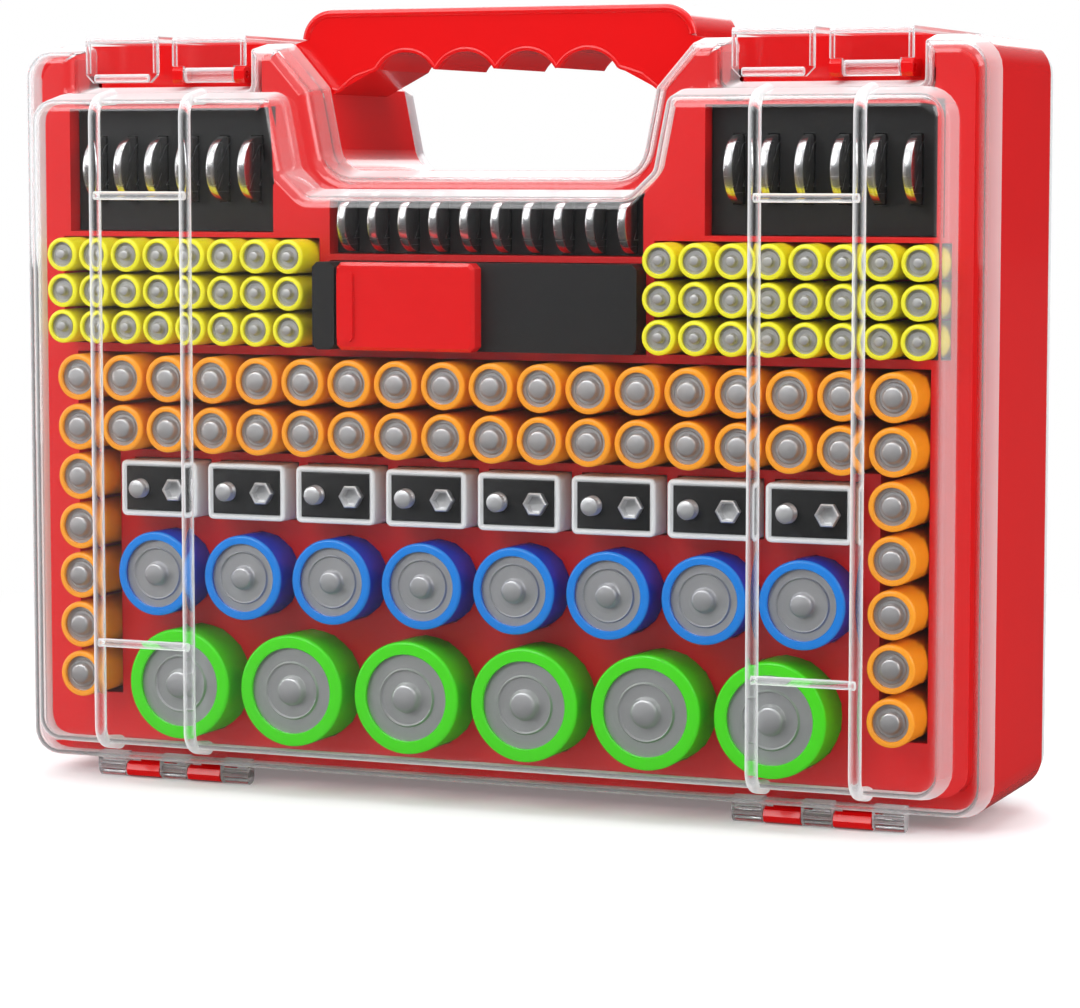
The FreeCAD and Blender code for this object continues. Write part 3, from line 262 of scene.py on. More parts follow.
link(
    skin,
    (place, "Object", patches, "Vector"), (place, "Object", peel, "Vector"),
    (taken, "Patch Scale", patches, "Scale"), (taken, "Peel Scale", peel, "Scale"),
    (patches, "Fac", amount, 0), (taken, "Shade", amount, 1), (amount, 0, darker, "Factor"),
    (taken, "Color", darker, "A"), (patches, "Fac", rough_swing, 0), (taken, "Spread", rough_swing, 1),
    (taken, "Roughness", rough_swing, 2), (darker, "Result", given, "Color"),
    (rough_swing, 0, given, "Roughness"), (peel, "Fac", given, "Height"),
)

band, taken, given = new_group(
    "end_band",
    [("Barrel", COLOUR, (0.5, 0.5, 0.5, 1)), ("Edge", COLOUR, (0.8, 0.8, 0.8, 1)),
     ("Face", NUMBER, -0.048), ("Width", NUMBER, 0.0008)],
    [("Color", COLOUR)],
)
place = add_node(band, "ShaderNodeTexCoord")
axes = add_node(band, "ShaderNodeSeparateXYZ")
behind = add_math(band, "SUBTRACT")
share = add_math(band, "DIVIDE", clamp=True)
blend = add_node(band, "ShaderNodeMix", data_type="RGBA")
link(
    band,
    (place, "Object", axes, 0), (axes, "Y", behind, 0), (taken, "Face", behind, 1),
    (behind, 0, share, 0), (taken, "Width", share, 1), (share, 0, blend, "Factor"),
    (taken, "Edge", blend, "A"), (taken, "Barrel", blend, "B"), (blend, "Result", given, "Color"),
)

metal, taken, given = new_group(
    "turned_metal",
    [("Color", COLOUR, (0.6, 0.6, 0.6, 1)), ("Rings", NUMBER, 60.0), ("Roughness", NUMBER, 0.35)],
    [("Color", COLOUR), ("Roughness", NUMBER), ("Height", NUMBER)],
)
place = add_node(metal, "ShaderNodeUVMap", uv_map="turned")
squeeze = add_node(metal, "ShaderNodeVectorMath", operation="MULTIPLY")
squeeze.inputs[1].default_value = (0.04, 1.0, 0.0)
rings = add_node(metal, "ShaderNodeTexNoise", {"Detail": 4.0, "Roughness": 0.7})
tint = add_node(metal, "ShaderNodeMix", data_type="RGBA", blend_type="MULTIPLY")
tint.inputs["B"].default_value = (0.72, 0.72, 0.74, 1.0)
swing = add_math(metal, "MULTIPLY_ADD", 0.18)
link(
    metal,
    (place, "UV", squeeze, 0), (squeeze, 0, rings, "Vector"), (taken, "Rings", rings, "Scale"),
    (rings, "Fac", tint, "Factor"), (taken, "Color", tint, "A"), (rings, "Fac", swing, 0),
    (taken, "Roughness", swing, 2), (tint, "Result", given, "Color"), (swing, 0, given, "Roughness"),
    (rings, "Fac", given, "Height"),
)
print("node groups:", [group.name for group in (skin, band, metal)])

# %% [markdown]
# A plastic is the shader with its skin. The edge of a wrap is one more group in front of the skin.


# %% Plastics
def add_group(tree, group, values):
    """One of the node groups, with the plain values of its inputs."""
    node = add_node(tree, "ShaderNodeGroup", node_tree=group)
    for key, value in values.items():
        node.inputs[key].default_value = value
    return node


def bumped(tree, surface, shader, strength, distance):
    """The group's roughness goes straight into the shader and its height goes through a bump."""
    bump = add_node(tree, "ShaderNodeBump", {"Strength": strength, "Distance": distance})
    link(
        tree,
        (surface, "Roughness", shader, "Roughness"),
        (surface, "Height", bump, "Height"),
        (bump, "Normal", shader, "Normal"),
    )


WRAP_OVERLAP = 0.0004


def plastic(name, colour, rough=0.2, edge=None, face=-0.048, shade=0.08, coat=0.0):
    """Moulded or shrunk plastic with a skin; edge is the colour of a wrap's fold at the depth of a face."""
    material, tree, out = empty_material(name)
    glaze = {"IOR": 1.5, "Coat Weight": coat, "Coat Roughness": 0.05}
    shader = add_node(tree, "ShaderNodeBsdfPrincipled", glaze)
    paint = (*colour, 1.0)
    surface = add_group(tree, skin, {"Roughness": rough, "Shade": shade, "Color": paint})
    if edge is not None:
        wrap = add_group(tree, band, {"Barrel": paint, "Edge": (*edge, 1.0), "Face": face + WRAP_OVERLAP})
        link(tree, (wrap, "Color", surface, "Color"))
    bumped(tree, surface, shader, 0.5, 0.00003)
    link(tree, (surface, "Color", shader, "Base Color"), (shader, 0, out, "Surface"))
    return material


red_gloss = plastic("red_gloss", (0.75, 0.003, 0.004), 0.13, coat=0.25)
red_satin = plastic("red_satin", (0.75, 0.003, 0.004), 0.3)
black_satin = plastic("black_satin", (0.007, 0.007, 0.007), 0.42, shade=0.3)
# The lighter fold is the AA and C wraps' own colour; on the AAA and D wraps it is a painted highlight.
aa_wrap = plastic("aa_wrap", (0.9, 0.3, 0.01), 0.22, edge=(0.95, 0.34, 0.012), face=-0.048)
aaa_wrap = plastic("aaa_wrap", (0.86, 0.76, 0.008), 0.22, edge=(0.9, 0.83, 0.02), face=-0.046)
c_wrap = plastic("c_wrap", (0.014, 0.04, 0.42), 0.2, edge=(0.006, 0.2, 0.66), face=-0.048)
d_wrap = plastic("d_wrap", (0.06, 0.5, 0.004), 0.2, edge=(0.06, 0.66, 0.004), face=-0.05)
white_case = plastic("white_case", (0.78, 0.78, 0.77), 0.25)
light_green_wrap = plastic("light_green_wrap", (0.2, 0.62, 0.03), 0.22)
blue_wrap = plastic("blue_wrap", (0.03, 0.16, 0.75), 0.22)
dark_green_wrap = plastic("dark_green_wrap", (0.01, 0.3, 0.02), 0.22)
yellow_wrap = plastic("yellow_wrap", (0.88, 0.72, 0.01), 0.22)
orange_wrap = plastic("orange_wrap", (0.9, 0.25, 0.006), 0.22)
cyan_wrap = plastic("cyan_wrap", (0.01, 0.55, 0.7), 0.22)
royal_wrap = plastic("royal_wrap", (0.02, 0.08, 0.62), 0.22)
green_wrap = plastic("green_wrap", (0.01, 0.33, 0.015), 0.22)
pin_plastic = plastic("pin_plastic", (0.7, 0.62, 0.58), 0.3)
print("plastics:", len(bpy.data.materials))


# %% Metal and clear plastic
def pressed_metal(name, colour, rough, rings_scale):
    """Nickel-plated steel: the group gives colour, roughness and the height of its rings."""
    material, tree, out = empty_material(name)
    shader = add_node(tree, "ShaderNodeBsdfPrincipled", {"Metallic": 1.0})
    surface = add_group(tree, metal, {"Color": (*colour, 1.0), "Roughness": rough, "Rings": rings_scale})
    bumped(tree, surface, shader, 0.25, 0.00004)
    link(tree, (surface, "Color", shader, "Base Color"), (shader, 0, out, "Surface"))
    return material


def clear_plastic(name, rough, edge=0.9, power=2.2):
    """Clear polystyrene. It refracts for the camera and lets the lamps' light through to what it covers.
    Where it is seen along its surface a pale diffuse is mixed in, a painted highlight, so that its rounds and
    rods read as pale lines."""
    material, tree, out = empty_material(name)
    shader = add_node(
        tree, "ShaderNodeBsdfPrincipled",
        {"Base Color": (0.985, 0.99, 0.995, 1.0), "Transmission Weight": 1.0, "IOR": 1.46},
    )
    surface = add_group(tree, skin, {"Roughness": rough, "Spread": rough, "Peel Scale": 90.0})
    bumped(tree, surface, shader, 0.12, 0.00005)
    # Pale diffuse mixed in at grazing angles: a painted highlight on the rounds, edges and rods.
    painted_sheen = add_node(tree, "ShaderNodeBsdfDiffuse", {"Color": (0.9, 0.9, 0.9, 1.0)})
    facing = add_node(tree, "ShaderNodeLayerWeight", {"Blend": 0.5})
    steep = add_math(tree, "POWER", power)
    limit = add_math(tree, "MULTIPLY", edge)
    edged = add_node(tree, "ShaderNodeMixShader")
    through = add_node(tree, "ShaderNodeBsdfTransparent", {"Color": (0.97, 0.975, 0.98, 1.0)})
    rays = add_node(tree, "ShaderNodeLightPath")
    any_light = add_math(tree, "MAXIMUM")
    pick = add_node(tree, "ShaderNodeMixShader")
    link(
        tree,
        (facing, "Facing", steep, 0), (steep, 0, limit, 0), (limit, 0, edged, "Fac"),
        (shader, 0, edged, 1), (painted_sheen, 0, edged, 2), (rays, "Is Shadow Ray", any_light, 0),
        (rays, "Is Diffuse Ray", any_light, 1), (any_light, 0, pick, "Fac"), (edged, 0, pick, 1),
        (through, 0, pick, 2), (pick, 0, out, "Surface"),
    )
    return material


cap_metal = pressed_metal("cap_metal", (0.72, 0.715, 0.71), 0.36, 42.0)
stud_metal = pressed_metal("stud_metal", (0.95, 0.95, 0.94), 0.34, 30.0)
bright_metal = pressed_metal("bright_metal", (0.86, 0.86, 0.85), 0.16, 30.0)
# Lids, straps and rods all get the painted highlight at grazing angles; the rods get a wider one through the
# lower power.
clear_lid = clear_plastic("clear_lid", 0.01)
clear_strap = clear_plastic("clear_strap", 0.015)
clear_rod = clear_plastic("clear_rod", 0.01, power=0.75)
print("metals and clear plastics ready")

# %% [markdown]
# ## Shapes by formula
# Most pieces of the case are outlines in the plane of the front, carried to the back along a profile. A
# few array helpers are enough: a rounded outline, its rings along a profile, a turned shape and a tube on
# a path.


# %% Outlines and profiles
LEAST_RADIUS = 0.06


def unit(steps):
    """The same steps, each one long."""
    return steps / np.linalg.norm(steps, axis=1, keepdims=True)


def corner_arcs(points, before, after, radii, inset, steps):
    """Each corner, between the directions before and after it, moves along its mitre by the inset and is
    rounded by a tangent arc. The radius shrinks by the inset at a convex corner and grows at a hollow one."""
    turn = np.arctan2(before[:, 0] * after[:, 1] - before[:, 1] * after[:, 0], (before * after).sum(1))
    side = np.where(turn < 0, -1.0, 1.0)
    normal = np.stack([-before[:, 1], before[:, 0]], axis=1)
    following = np.stack([-after[:, 1], after[:, 0]], axis=1)
    mitre = (normal + following) / (1 + (normal * following).sum(1))[:, None]
    radius = np.maximum(np.asarray(radii, float) - side * inset, LEAST_RADIUS)
    centre = points + (inset + side * radius)[:, None] * mitre
    angle = turn[:, None] * np.linspace(0, 1, steps + 1)
    across = np.stack([-normal[:, 1], normal[:, 0]], axis=1)
    spoke = normal[:, None] * np.cos(angle)[..., None] + across[:, None] * np.sin(angle)[..., None]
    return (centre[:, None] - (side * radius)[:, None, None] * spoke).reshape(-1, 2)


def outline(corners, radii, inset=0.0, steps=6):
    """Closed outline, anticlockwise, with every corner moved in by the inset and rounded."""
    points = np.asarray(corners, float)
    ahead = unit(np.roll(points, -1, axis=0) - points)
    return corner_arcs(points, np.roll(ahead, 1, axis=0), ahead, radii, inset, steps)


def eased(profile, radii, steps=5):
    """Open profile with its inner corners rounded; the two ends stay where they are."""
    points = np.asarray(profile, float)
    ahead = unit(points[1:] - points[:-1])
    arcs = corner_arcs(points[1:-1], ahead[:-1], ahead[1:], radii, 0.0, steps)
    return np.concatenate([points[:1], arcs, points[-1:]])


def carried(corners, radii, profile, steps=6):
    """Rings of an outline, one for each (inset, depth) pair: the outline gives x and z, the depth y."""
    rings = [outline(corners, radii, inset, steps) for inset, depth in profile]
    return np.stack([
        np.column_stack([ring[:, 0], np.full(len(ring), depth), ring[:, 1]])
        for ring, (inset, depth) in zip(rings, profile)
    ])


def ring_faces(rings, around, start=0):
    """Quads between neighbouring rings: point j of ring i, point j + 1, and the same two of ring i + 1."""
    i = np.arange(rings - 1)[:, None]
    j = np.arange(around)[None, :]
    a = i * around + j
    b = i * around + (j + 1) % around
    return (np.stack([a, a + around, b + around, b], axis=-1).reshape(-1, 4) + start).tolist()


def bar_faces(rings, around):
    """Faces of a bar made of rings: the quads along it and a flat face at both ends."""
    last = (rings - 1) * around
    ends = [list(range(around)), list(range(last + around - 1, last - 1, -1))]
    return ring_faces(rings, around) + ends


def filled(loops, starts):
    """Triangles that fill the first loop and leave the others open, with each loop's first index given."""
    numbers = np.concatenate([np.arange(len(loop)) + start for loop, start in zip(loops, starts)])
    flats = [[Vector((point[0], point[2], 0.0)) for point in loop] for loop in loops]
    return [numbers[list(face)].tolist() for face in tessellate_polygon(flats)]


def turned(profile, around):
    """A profile of (radius, along) pairs turned about the y axis: x = r cos t, z = r sin t, y = along."""
    profile = np.asarray(profile, float)
    angle = np.arange(around) * (2 * np.pi / around)
    radius = profile[:, 0, None]
    along = np.broadcast_to(profile[:, 1, None], (len(profile), around))
    points = np.stack([radius * np.cos(angle), along, radius * np.sin(angle)], axis=-1)
    return points.reshape(-1, 3), bar_faces(len(profile), around)


def tube(path, radius, sides=12, up=(0, 0, 1)):
    """A round bar on a path: at each point a circle across the path's direction."""
    path = np.asarray(path, float)
    ahead = unit(np.gradient(path, axis=0))
    side = unit(np.cross(ahead, np.asarray(up, float)))
    over = np.cross(side, ahead)
    angle = np.arange(sides) * (2 * np.pi / sides)
    circle = side[:, None] * np.cos(angle)[:, None] + over[:, None] * np.sin(angle)[:, None]
    return (path[:, None] + radius * circle).reshape(-1, 3), bar_faces(len(path), sides)


def plain_block(low, high):
    """Eight corners and six faces between two opposite corners."""
    low, high = np.asarray(low, float), np.asarray(high, float)
    pick = np.array([(i, j, k) for i in (0, 1) for j in (0, 1) for k in (0, 1)])
    points = low + pick * (high - low)
    faces = [[0, 1, 3, 2], [4, 6, 7, 5], [0, 4, 5, 1], [2, 3, 7, 6], [0, 2, 6, 4], [1, 5, 7, 3]]
    return points, faces


# %% Copies and pieces
def repeated(shape, places):
    """The same points at each place, with the faces numbered on."""
    points, faces = shape
    places = np.asarray(places, float).reshape(-1, 3)
    moved = (np.asarray(points)[None] + places[:, None]).reshape(-1, 3)
    count = len(points)
    return moved, [[v + k * count for v in face] for k in range(len(places)) for face in faces]


def joined(*shapes):
    """Several shapes as one list of points and faces."""
    points, faces, start = [], [], 0
    for some_points, some_faces in shapes:
        points.append(np.asarray(some_points, float))
        faces += [[v + start for v in face] for face in some_faces]
        start += len(some_points)
    return np.concatenate(points), faces


def half_turned(shape):
    """The shape turned half round about the upright axis, as the rear of the case is to the front."""
    points, faces = shape
    return np.asarray(points) * (-1, -1, 1), faces


def make_piece(name, shape, body, material, smooth=35.0):
    """A shape in millimetres becomes a piece that rides on its body, with its faces turned outwards."""
    points, faces = shape
    mesh = bpy.data.meshes.new(name)
    mesh.from_pydata((np.asarray(points) * MM).tolist(), [], faces)
    piece = new_object(name, mesh)
    work = bmesh.new()
    work.from_mesh(mesh)
    bmesh.ops.recalc_face_normals(work, faces=work.faces)
    work.to_mesh(mesh)
    work.free()
    mesh.shade_smooth()
    mesh.set_sharp_from_angle(angle=math.radians(smooth))
    mesh.materials.append(material)
    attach(piece, body)
    return piece


def weighted(piece):
    """Large flat faces keep their own direction beside small rounded ones."""
    modifier = piece.modifiers.new("weighted", "WEIGHTED_NORMAL")
    modifier.keep_sharp = True
    modifier.weight = 90


print("shape helpers ready")

# %% [markdown]
# ## Carried-over solids
# The body, the decks and the holders keep their solids and get their finish.

# %% Finishes of the solids
node_finish = {
    "front_shell": red_gloss, "rear_shell": red_gloss, "front_deck": red_satin, "rear_deck": red_satin,
    "tester_jaw": red_gloss, "tester_body": black_satin, "assembly_pins": pin_plastic,
    "latch_front_inner": clear_strap, "latch_front_outer": clear_strap,
    "latch_rear_inner": clear_strap, "latch_rear_outer": clear_strap,
}
for name, node in nodes.items():
    finish = node_finish.get(name, black_satin)
    node.data.materials.clear()
    node.data.materials.append(finish)
print("finished solids:", len(nodes))

# %% [markdown]
# ## Handle
# The handle's edges are rolled. Each roll is a round bar along the outline of the grip: one over the top
# and down to both feet, and two along the scallops, one at the front and one just behind it.


# %% Rolled edges of the handle
def smooth_path(corners, radii, depth, steps=8):
    """Open path of straight runs and arcs at one depth: x and z come from the corners."""
    flat = eased(corners, radii, steps)
    return np.column_stack([flat[:, 0], np.full(len(flat), depth), flat[:, 1]])


def evenly(path, step=1.2):
    """The same path with points at even steps, so that a bar along it bends smoothly."""
    gaps = np.linalg.norm(np.diff(path, axis=0), axis=1)
    along = np.concatenate([[0], np.cumsum(gaps)])
    marks = np.linspace(0, along[-1], int(along[-1] / step) + 2)
    return np.column_stack([np.interp(marks, along, path[:, k]) for k in range(3)])


ROLL_DEPTH = -25.4
ROLL_HALF = 62.2
ROLL_FOOT_HALF = 62.6
ROLL_TOP = 237.1
ROLL_FOOT = 229.5
ROLL_CORNER = 8.4
ROLL_RADIUS = 1.3
SCALLOPS = 4
SCALLOP_PITCH = 19.7
SCALLOP_RISE = 5.7
CUSP_HEIGHT = 220.1
PALM_END = [(54.0, 214.2), (52.0, 213.6), (46.5, 217.9)]
LIP_DEPTH = -25.5
LIP_RADIUS = 0.75
LIP_ABOVE = 0.3
INNER_LIP_RADIUS = 0.6
INNER_LIP_STEP = (0.0, 3.4, 0.35)

roll_right = [(ROLL_HALF, ROLL_TOP), (ROLL_FOOT_HALF, ROLL_FOOT)]
roll_left = [(-x, z) for x, z in reversed(roll_right)]
over = smooth_path(roll_left + roll_right, [ROLL_CORNER, ROLL_CORNER], ROLL_DEPTH)
half_chord = SCALLOP_PITCH / 2
arc_radius = (half_chord ** 2 + SCALLOP_RISE ** 2) / (2 * SCALLOP_RISE)
swing = np.linspace(-1, 1, 17) * math.asin(half_chord / arc_radius)
crest = CUSP_HEIGHT + SCALLOP_RISE
scallops = [(-x, z) for x, z in PALM_END]
for i in range(SCALLOPS):
    middle = SCALLOP_PITCH * (i - (SCALLOPS - 1) / 2)
    scallops += [(middle + arc_radius * math.sin(a), crest - arc_radius * (1 - math.cos(a))) for a in swing]
scallops = np.asarray(scallops + PALM_END[::-1])
lip_depth = np.full(len(scallops), LIP_DEPTH)
front_lip = np.column_stack([scallops[:, 0], lip_depth, scallops[:, 1] + LIP_ABOVE])
inner_lip = front_lip + INNER_LIP_STEP
lips = joined(
    tube(evenly(over), ROLL_RADIUS, 14, up=(0, 1, 0)),
    tube(evenly(front_lip, 0.8), LIP_RADIUS, 12, up=(0, 1, 0)),
    tube(evenly(inner_lip, 0.8), INNER_LIP_RADIUS, 10, up=(0, 1, 0)),
)
make_piece("handle_lips", lips, "case", red_gloss)
print("rolled edges:", len(lips[0]), "points")

# %% [markdown]
# Behind each pair of straps the body is closed by a narrow red wall, between the deck's upper edge and
# the ears that carry the straps. It lies just inside the lid's rim.

# %% Wall behind the straps
WALL_NEAR, WALL_FAR = 78.6, 133.2
WALL_FOOT, WALL_TOP = 212.9, 219.5
WALL_FACE, WALL_BACK = -26.9, -25.7

front_walls = joined(*[
    plain_block((low, WALL_FACE, WALL_FOOT), (high, WALL_BACK, WALL_TOP))
    for low, high in ((WALL_NEAR, WALL_FAR), (-WALL_FAR, -WALL_NEAR))
])
strap_walls = joined(front_walls, half_turned(front_walls))
make_piece("strap_walls", strap_walls, "case", red_gloss)
print("walls behind the straps: two at the front and two at the rear")

# %% [markdown]
# ## Lids
# Each lid is one thin moulding: a rim that stands on the body, a flange, and a panel raised over the
# cells. The rim and the panel wall are carried round their outlines with rounded corners, because the
# bright lines in the clear plastic come from those rounds. Flat fills join them, and Solidify gives the
# wall.

# %% Outlines of the lid
CASE_HALF_WIDTH = 155.8
CASE_BOTTOM = 4.3
CASE_TOP = 228.3
STRAP_NOTCH_NEAR = 77.5
STRAP_NOTCH_FAR = 134.3
STRAP_NOTCH_FLOOR = 215.5

strap_notch = [
    (STRAP_NOTCH_FAR, CASE_TOP), (STRAP_NOTCH_FAR, STRAP_NOTCH_FLOOR),
    (STRAP_NOTCH_NEAR, STRAP_NOTCH_FLOOR), (STRAP_NOTCH_NEAR, CASE_TOP),
]
hand_notch = [(66.0, CASE_TOP), (54.0, 214.8), (49.0, 189.8)]
right_side = [(CASE_HALF_WIDTH, CASE_BOTTOM), (CASE_HALF_WIDTH, CASE_TOP)]
lid_right = right_side + strap_notch + hand_notch
lid_corners = lid_right + [(-x, z) for x, z in reversed(lid_right)]
lid_right_radii = [10, 10, 2.5, 0.8, 0.8, 2.5, 2.5, 3.0, 8.0]
lid_radii = lid_right_radii + lid_right_radii[::-1]
PANEL_HALF_WIDTH = 147.0
PANEL_BOTTOM = 11.0
PANEL_TOP = 213.4
panel_right = [
    (PANEL_HALF_WIDTH, PANEL_BOTTOM), (PANEL_HALF_WIDTH, PANEL_TOP),
    (62.0, PANEL_TOP), (57.5, 190.8), (50.5, 184.3),
]
panel_corners = panel_right + [(-x, z) for x, z in reversed(panel_right)]
panel_radii = [9, 9, 5.0, 3.0, 3.0, 3.0, 3.0, 5.0, 9, 9]
BODY_DEPTH = 27.0
FLANGE_DEPTH = 40.0
PANEL_DEPTH = 52.3
LID_WALL = 1.2
RIM_DRAFT, RIM_INSET, RIM_ROUND = 2.3, 6.4, 4.2
WALL_DRAFT, WALL_INSET, WALL_ROUND = 2.5, 9.0, 4.4
UNDER_STRAP_NEAR, UNDER_STRAP_FAR, UNDER_STRAP_FOOT = 70, 141.5, 200
RIM_ABOVE_PANEL = 0.12
print("corners: lid", len(lid_corners), "panel", len(panel_corners))


# %% Lid sheet
def lid_sheet():
    """Outer skin of the front lid: rim rings, a flat flange, panel rings and a flat face, all joined."""
    rim_profile = eased(
        [(0.0, -BODY_DEPTH - 0.1), (RIM_DRAFT, -FLANGE_DEPTH), (RIM_INSET, -FLANGE_DEPTH)], [RIM_ROUND], 8)
    rim = carried(lid_corners, lid_radii, rim_profile)
    across = np.abs(rim[..., 0])
    height = rim[..., 2]
    under_strap = (across > UNDER_STRAP_NEAR) & (across < UNDER_STRAP_FAR) & (height > UNDER_STRAP_FOOT)
    rim[..., 2] = np.where(under_strap, np.maximum(height, PANEL_TOP + RIM_ABOVE_PANEL), height)
    wall_profile = eased(
        [(0.0, -FLANGE_DEPTH), (WALL_DRAFT, -PANEL_DEPTH), (WALL_INSET, -PANEL_DEPTH)], [WALL_ROUND], 8)
    wall = carried(panel_corners, panel_radii, wall_profile)
    around, inside = rim.shape[1], wall.shape[1]
    start = rim.shape[0] * around
    points = np.concatenate([rim.reshape(-1, 3), wall.reshape(-1, 3)])
    faces = ring_faces(rim.shape[0], around) + ring_faces(wall.shape[0], inside, start=start)
    faces += filled([rim[-1], wall[0]], [start - around, start])
    faces += filled([wall[-1]], [len(points) - inside])
    return points, faces


def lid_piece(name, shape, body, node):
    """The sheet becomes a wall: its faces are turned to the outside and Solidify goes inwards."""
    piece = make_piece(name, shape, body, clear_lid, smooth=50.0)
    mesh = piece.data
    widest = max(mesh.polygons, key=lambda face: face.area)
    outside = -1.0 if "front" in name else 1.0
    if widest.normal.y * outside < 0:
        mesh.flip_normals()
    wall = piece.modifiers.new("wall", "SOLIDIFY")
    wall.thickness = LID_WALL * MM
    wall.offset = -1.0
    weighted(piece)
    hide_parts(node, node + "_top_left", node + "_top_right")


front_sheet = lid_sheet()
lid_piece("front_lid_shell", front_sheet, "front_lid", "front_lid")
lid_piece("rear_lid_shell", half_turned(front_sheet), "rear_lid", "rear_lid")
print("lid sheet:", len(front_sheet[0]), "points")

# %% [markdown]
# Two tubular ribs run down each panel at each side, over its top edge and down to the flange, and two
# rungs cross between them. They look like glass rods laid on the panel, so they are round bars on
# rounded paths.

# %% Lid ribs
RIB_NEAR, RIB_FAR = 90.8, 121.8
RIB_DEPTH = 52.0
RIB_RADIUS = 1.95
RIB_BEND = 5.5
RUNG_DEPTH = 52.5
RUNG_RADIUS = 1.3
RUNG_HEIGHTS = (182.2, 44.7)

rib_root = FLANGE_DEPTH + 0.5
rib_line = eased(
    [(-rib_root, 11.6), (-RIB_DEPTH, 13.8), (-RIB_DEPTH, PANEL_TOP - 2.8), (-rib_root, PANEL_TOP - 0.6)],
    [RIB_BEND, RIB_BEND], steps=8,
)


def rib_path(x):
    """A rib's centre line: x stays, y and z follow the panel's section."""
    return np.column_stack([np.full(len(rib_line), x), rib_line[:, 0], rib_line[:, 1]])


def rung_path(x_low, x_high, z):
    """Straight bar from rib to rib at one height."""
    x = np.linspace(x_low, x_high, 4)
    return np.column_stack([x, np.full(4, -RUNG_DEPTH), np.full(4, z)])


ribs = [tube(rib_path(x), RIB_RADIUS, 18, up=(1, 0, 0)) for x in (-RIB_FAR, -RIB_NEAR, RIB_NEAR, RIB_FAR)]
rungs = [
    tube(rung_path(low, high, z), RUNG_RADIUS, 12, up=(0, 0, 1))
    for low, high in ((-RIB_FAR, -RIB_NEAR), (RIB_NEAR, RIB_FAR)) for z in RUNG_HEIGHTS
]
lid_ribs = joined(*ribs, *rungs)
make_piece("front_lid_ribs", lid_ribs, "front_lid", clear_rod)
make_piece("rear_lid_ribs", half_turned(lid_ribs), "rear_lid", clear_rod)
print("ribs:", len(ribs), "rungs:", len(rungs))

# %% [markdown]
# The lid's hinge is moulded with it: three clear knuckles at each side of the lower edge ride between two
# red ones of the body. Each knuckle is a round bar with a short wall up to the rim.

# %% Lid knuckles
HINGE_DEPTH = 34.0
HINGE_HEIGHT = 2.5
HINGE_MIDDLE = 105.5
KNUCKLES = ((79.2, 88.7), (100.7, 110.0), (122.2, 131.8))
KNUCKLE_RADIUS = 2.5
WEB_HALF = 2.3
WEB_TOP = 7.4
BAR_RADIUS = 1.1
BAR_HALF = 26.0


def cross_cylinder(x_low, x_high, y, z, radius, sides=20, round_over=0.25):
    """Bar along x: radius against x, with a small round at both ends, turned about its own line."""
    profile = np.array([
        (radius - round_over, x_low), (radius, x_low + round_over),
        (radius, x_high - round_over), (radius - round_over, x_high),
    ])
    points, faces = turned(profile, sides)
    return np.column_stack([points[:, 1], points[:, 0] + y, points[:, 2] + z]), faces


knuckle_spans = [(low, high) for low, high in KNUCKLES] + [(-high, -low) for low, high in KNUCKLES]
knuckles = [
    cross_cylinder(low, high, -HINGE_DEPTH, HINGE_HEIGHT, KNUCKLE_RADIUS) for low, high in knuckle_spans
]
webs = [
    plain_block((low, -HINGE_DEPTH - WEB_HALF, HINGE_HEIGHT), (high, -HINGE_DEPTH + WEB_HALF, WEB_TOP))
    for low, high in knuckle_spans
]
bars = [
    cross_cylinder(middle - BAR_HALF, middle + BAR_HALF, -HINGE_DEPTH, HINGE_HEIGHT, BAR_RADIUS, 12)
    for middle in (-HINGE_MIDDLE, HINGE_MIDDLE)
]
lid_hinge = joined(*knuckles, *webs, *bars)
make_piece("front_lid_hinge", lid_hinge, "front_lid", clear_lid)
make_piece("rear_lid_hinge", half_turned(lid_hinge), "rear_lid", clear_lid)
print("clear knuckles:", len(knuckles))

# %% [markdown]
# The straps are clear and their edges are rounded. Each has a round bar at its hinge, one at the lower
# edge of its flap and one along each of its two bends, and thin rods down both side edges of the flap and
# of the hinge end.

# %% Strap rods
STRAP_HALF = 12.35
STRAP_HINGE_DEPTH = 33.0
STRAP_HINGE_HEIGHT = 218.9
HINGE_END_DEPTH = 34.4
FLAP_DEPTH = 38.1
BEND_HEIGHT = 229.7
BEND_RADIUS = 1.0
SIDE_ROD_RADIUS = 0.75
HINGE_ROD_HALF, HINGE_ROD_RADIUS = 8.3, 2.3
FOOT_ROD_HALF, FOOT_ROD_RADIUS = 9.4, 1.3
FOOT_HEIGHT = 218.0
FLAP_ROD_FOOT, HINGE_END_ROD_FOOT = 219.6, 221.6
STRAP_PLACES = {"inner": -91.5, "outer": 119.6}


def strap_rods(place):
    """Rods of the strap that is hinged at the front and hangs over the rear, about its middle."""
    sizes = [
        (HINGE_ROD_HALF, -STRAP_HINGE_DEPTH, STRAP_HINGE_HEIGHT, HINGE_ROD_RADIUS, 20),
        (FOOT_ROD_HALF, FLAP_DEPTH, FOOT_HEIGHT, FOOT_ROD_RADIUS, 16),
        (STRAP_HALF, FLAP_DEPTH, BEND_HEIGHT, BEND_RADIUS, 16),
        (STRAP_HALF, -HINGE_END_DEPTH, BEND_HEIGHT, BEND_RADIUS, 16),
    ]
    across = [cross_cylinder(place - half, place + half, y, z, r, sides) for half, y, z, r, sides in sizes]
    upright = []
    for side in (-1, 1):
        x = place + side * (STRAP_HALF - SIDE_ROD_RADIUS)
        for y, low in ((FLAP_DEPTH, FLAP_ROD_FOOT), (-HINGE_END_DEPTH, HINGE_END_ROD_FOOT)):
            z = np.linspace(low, BEND_HEIGHT - 0.1, 4)
            path = np.column_stack([np.full(4, x), np.full(4, y), z])
            upright.append(tube(path, SIDE_ROD_RADIUS, 12, up=(1, 0, 0)))
    return joined(*across, *upright)


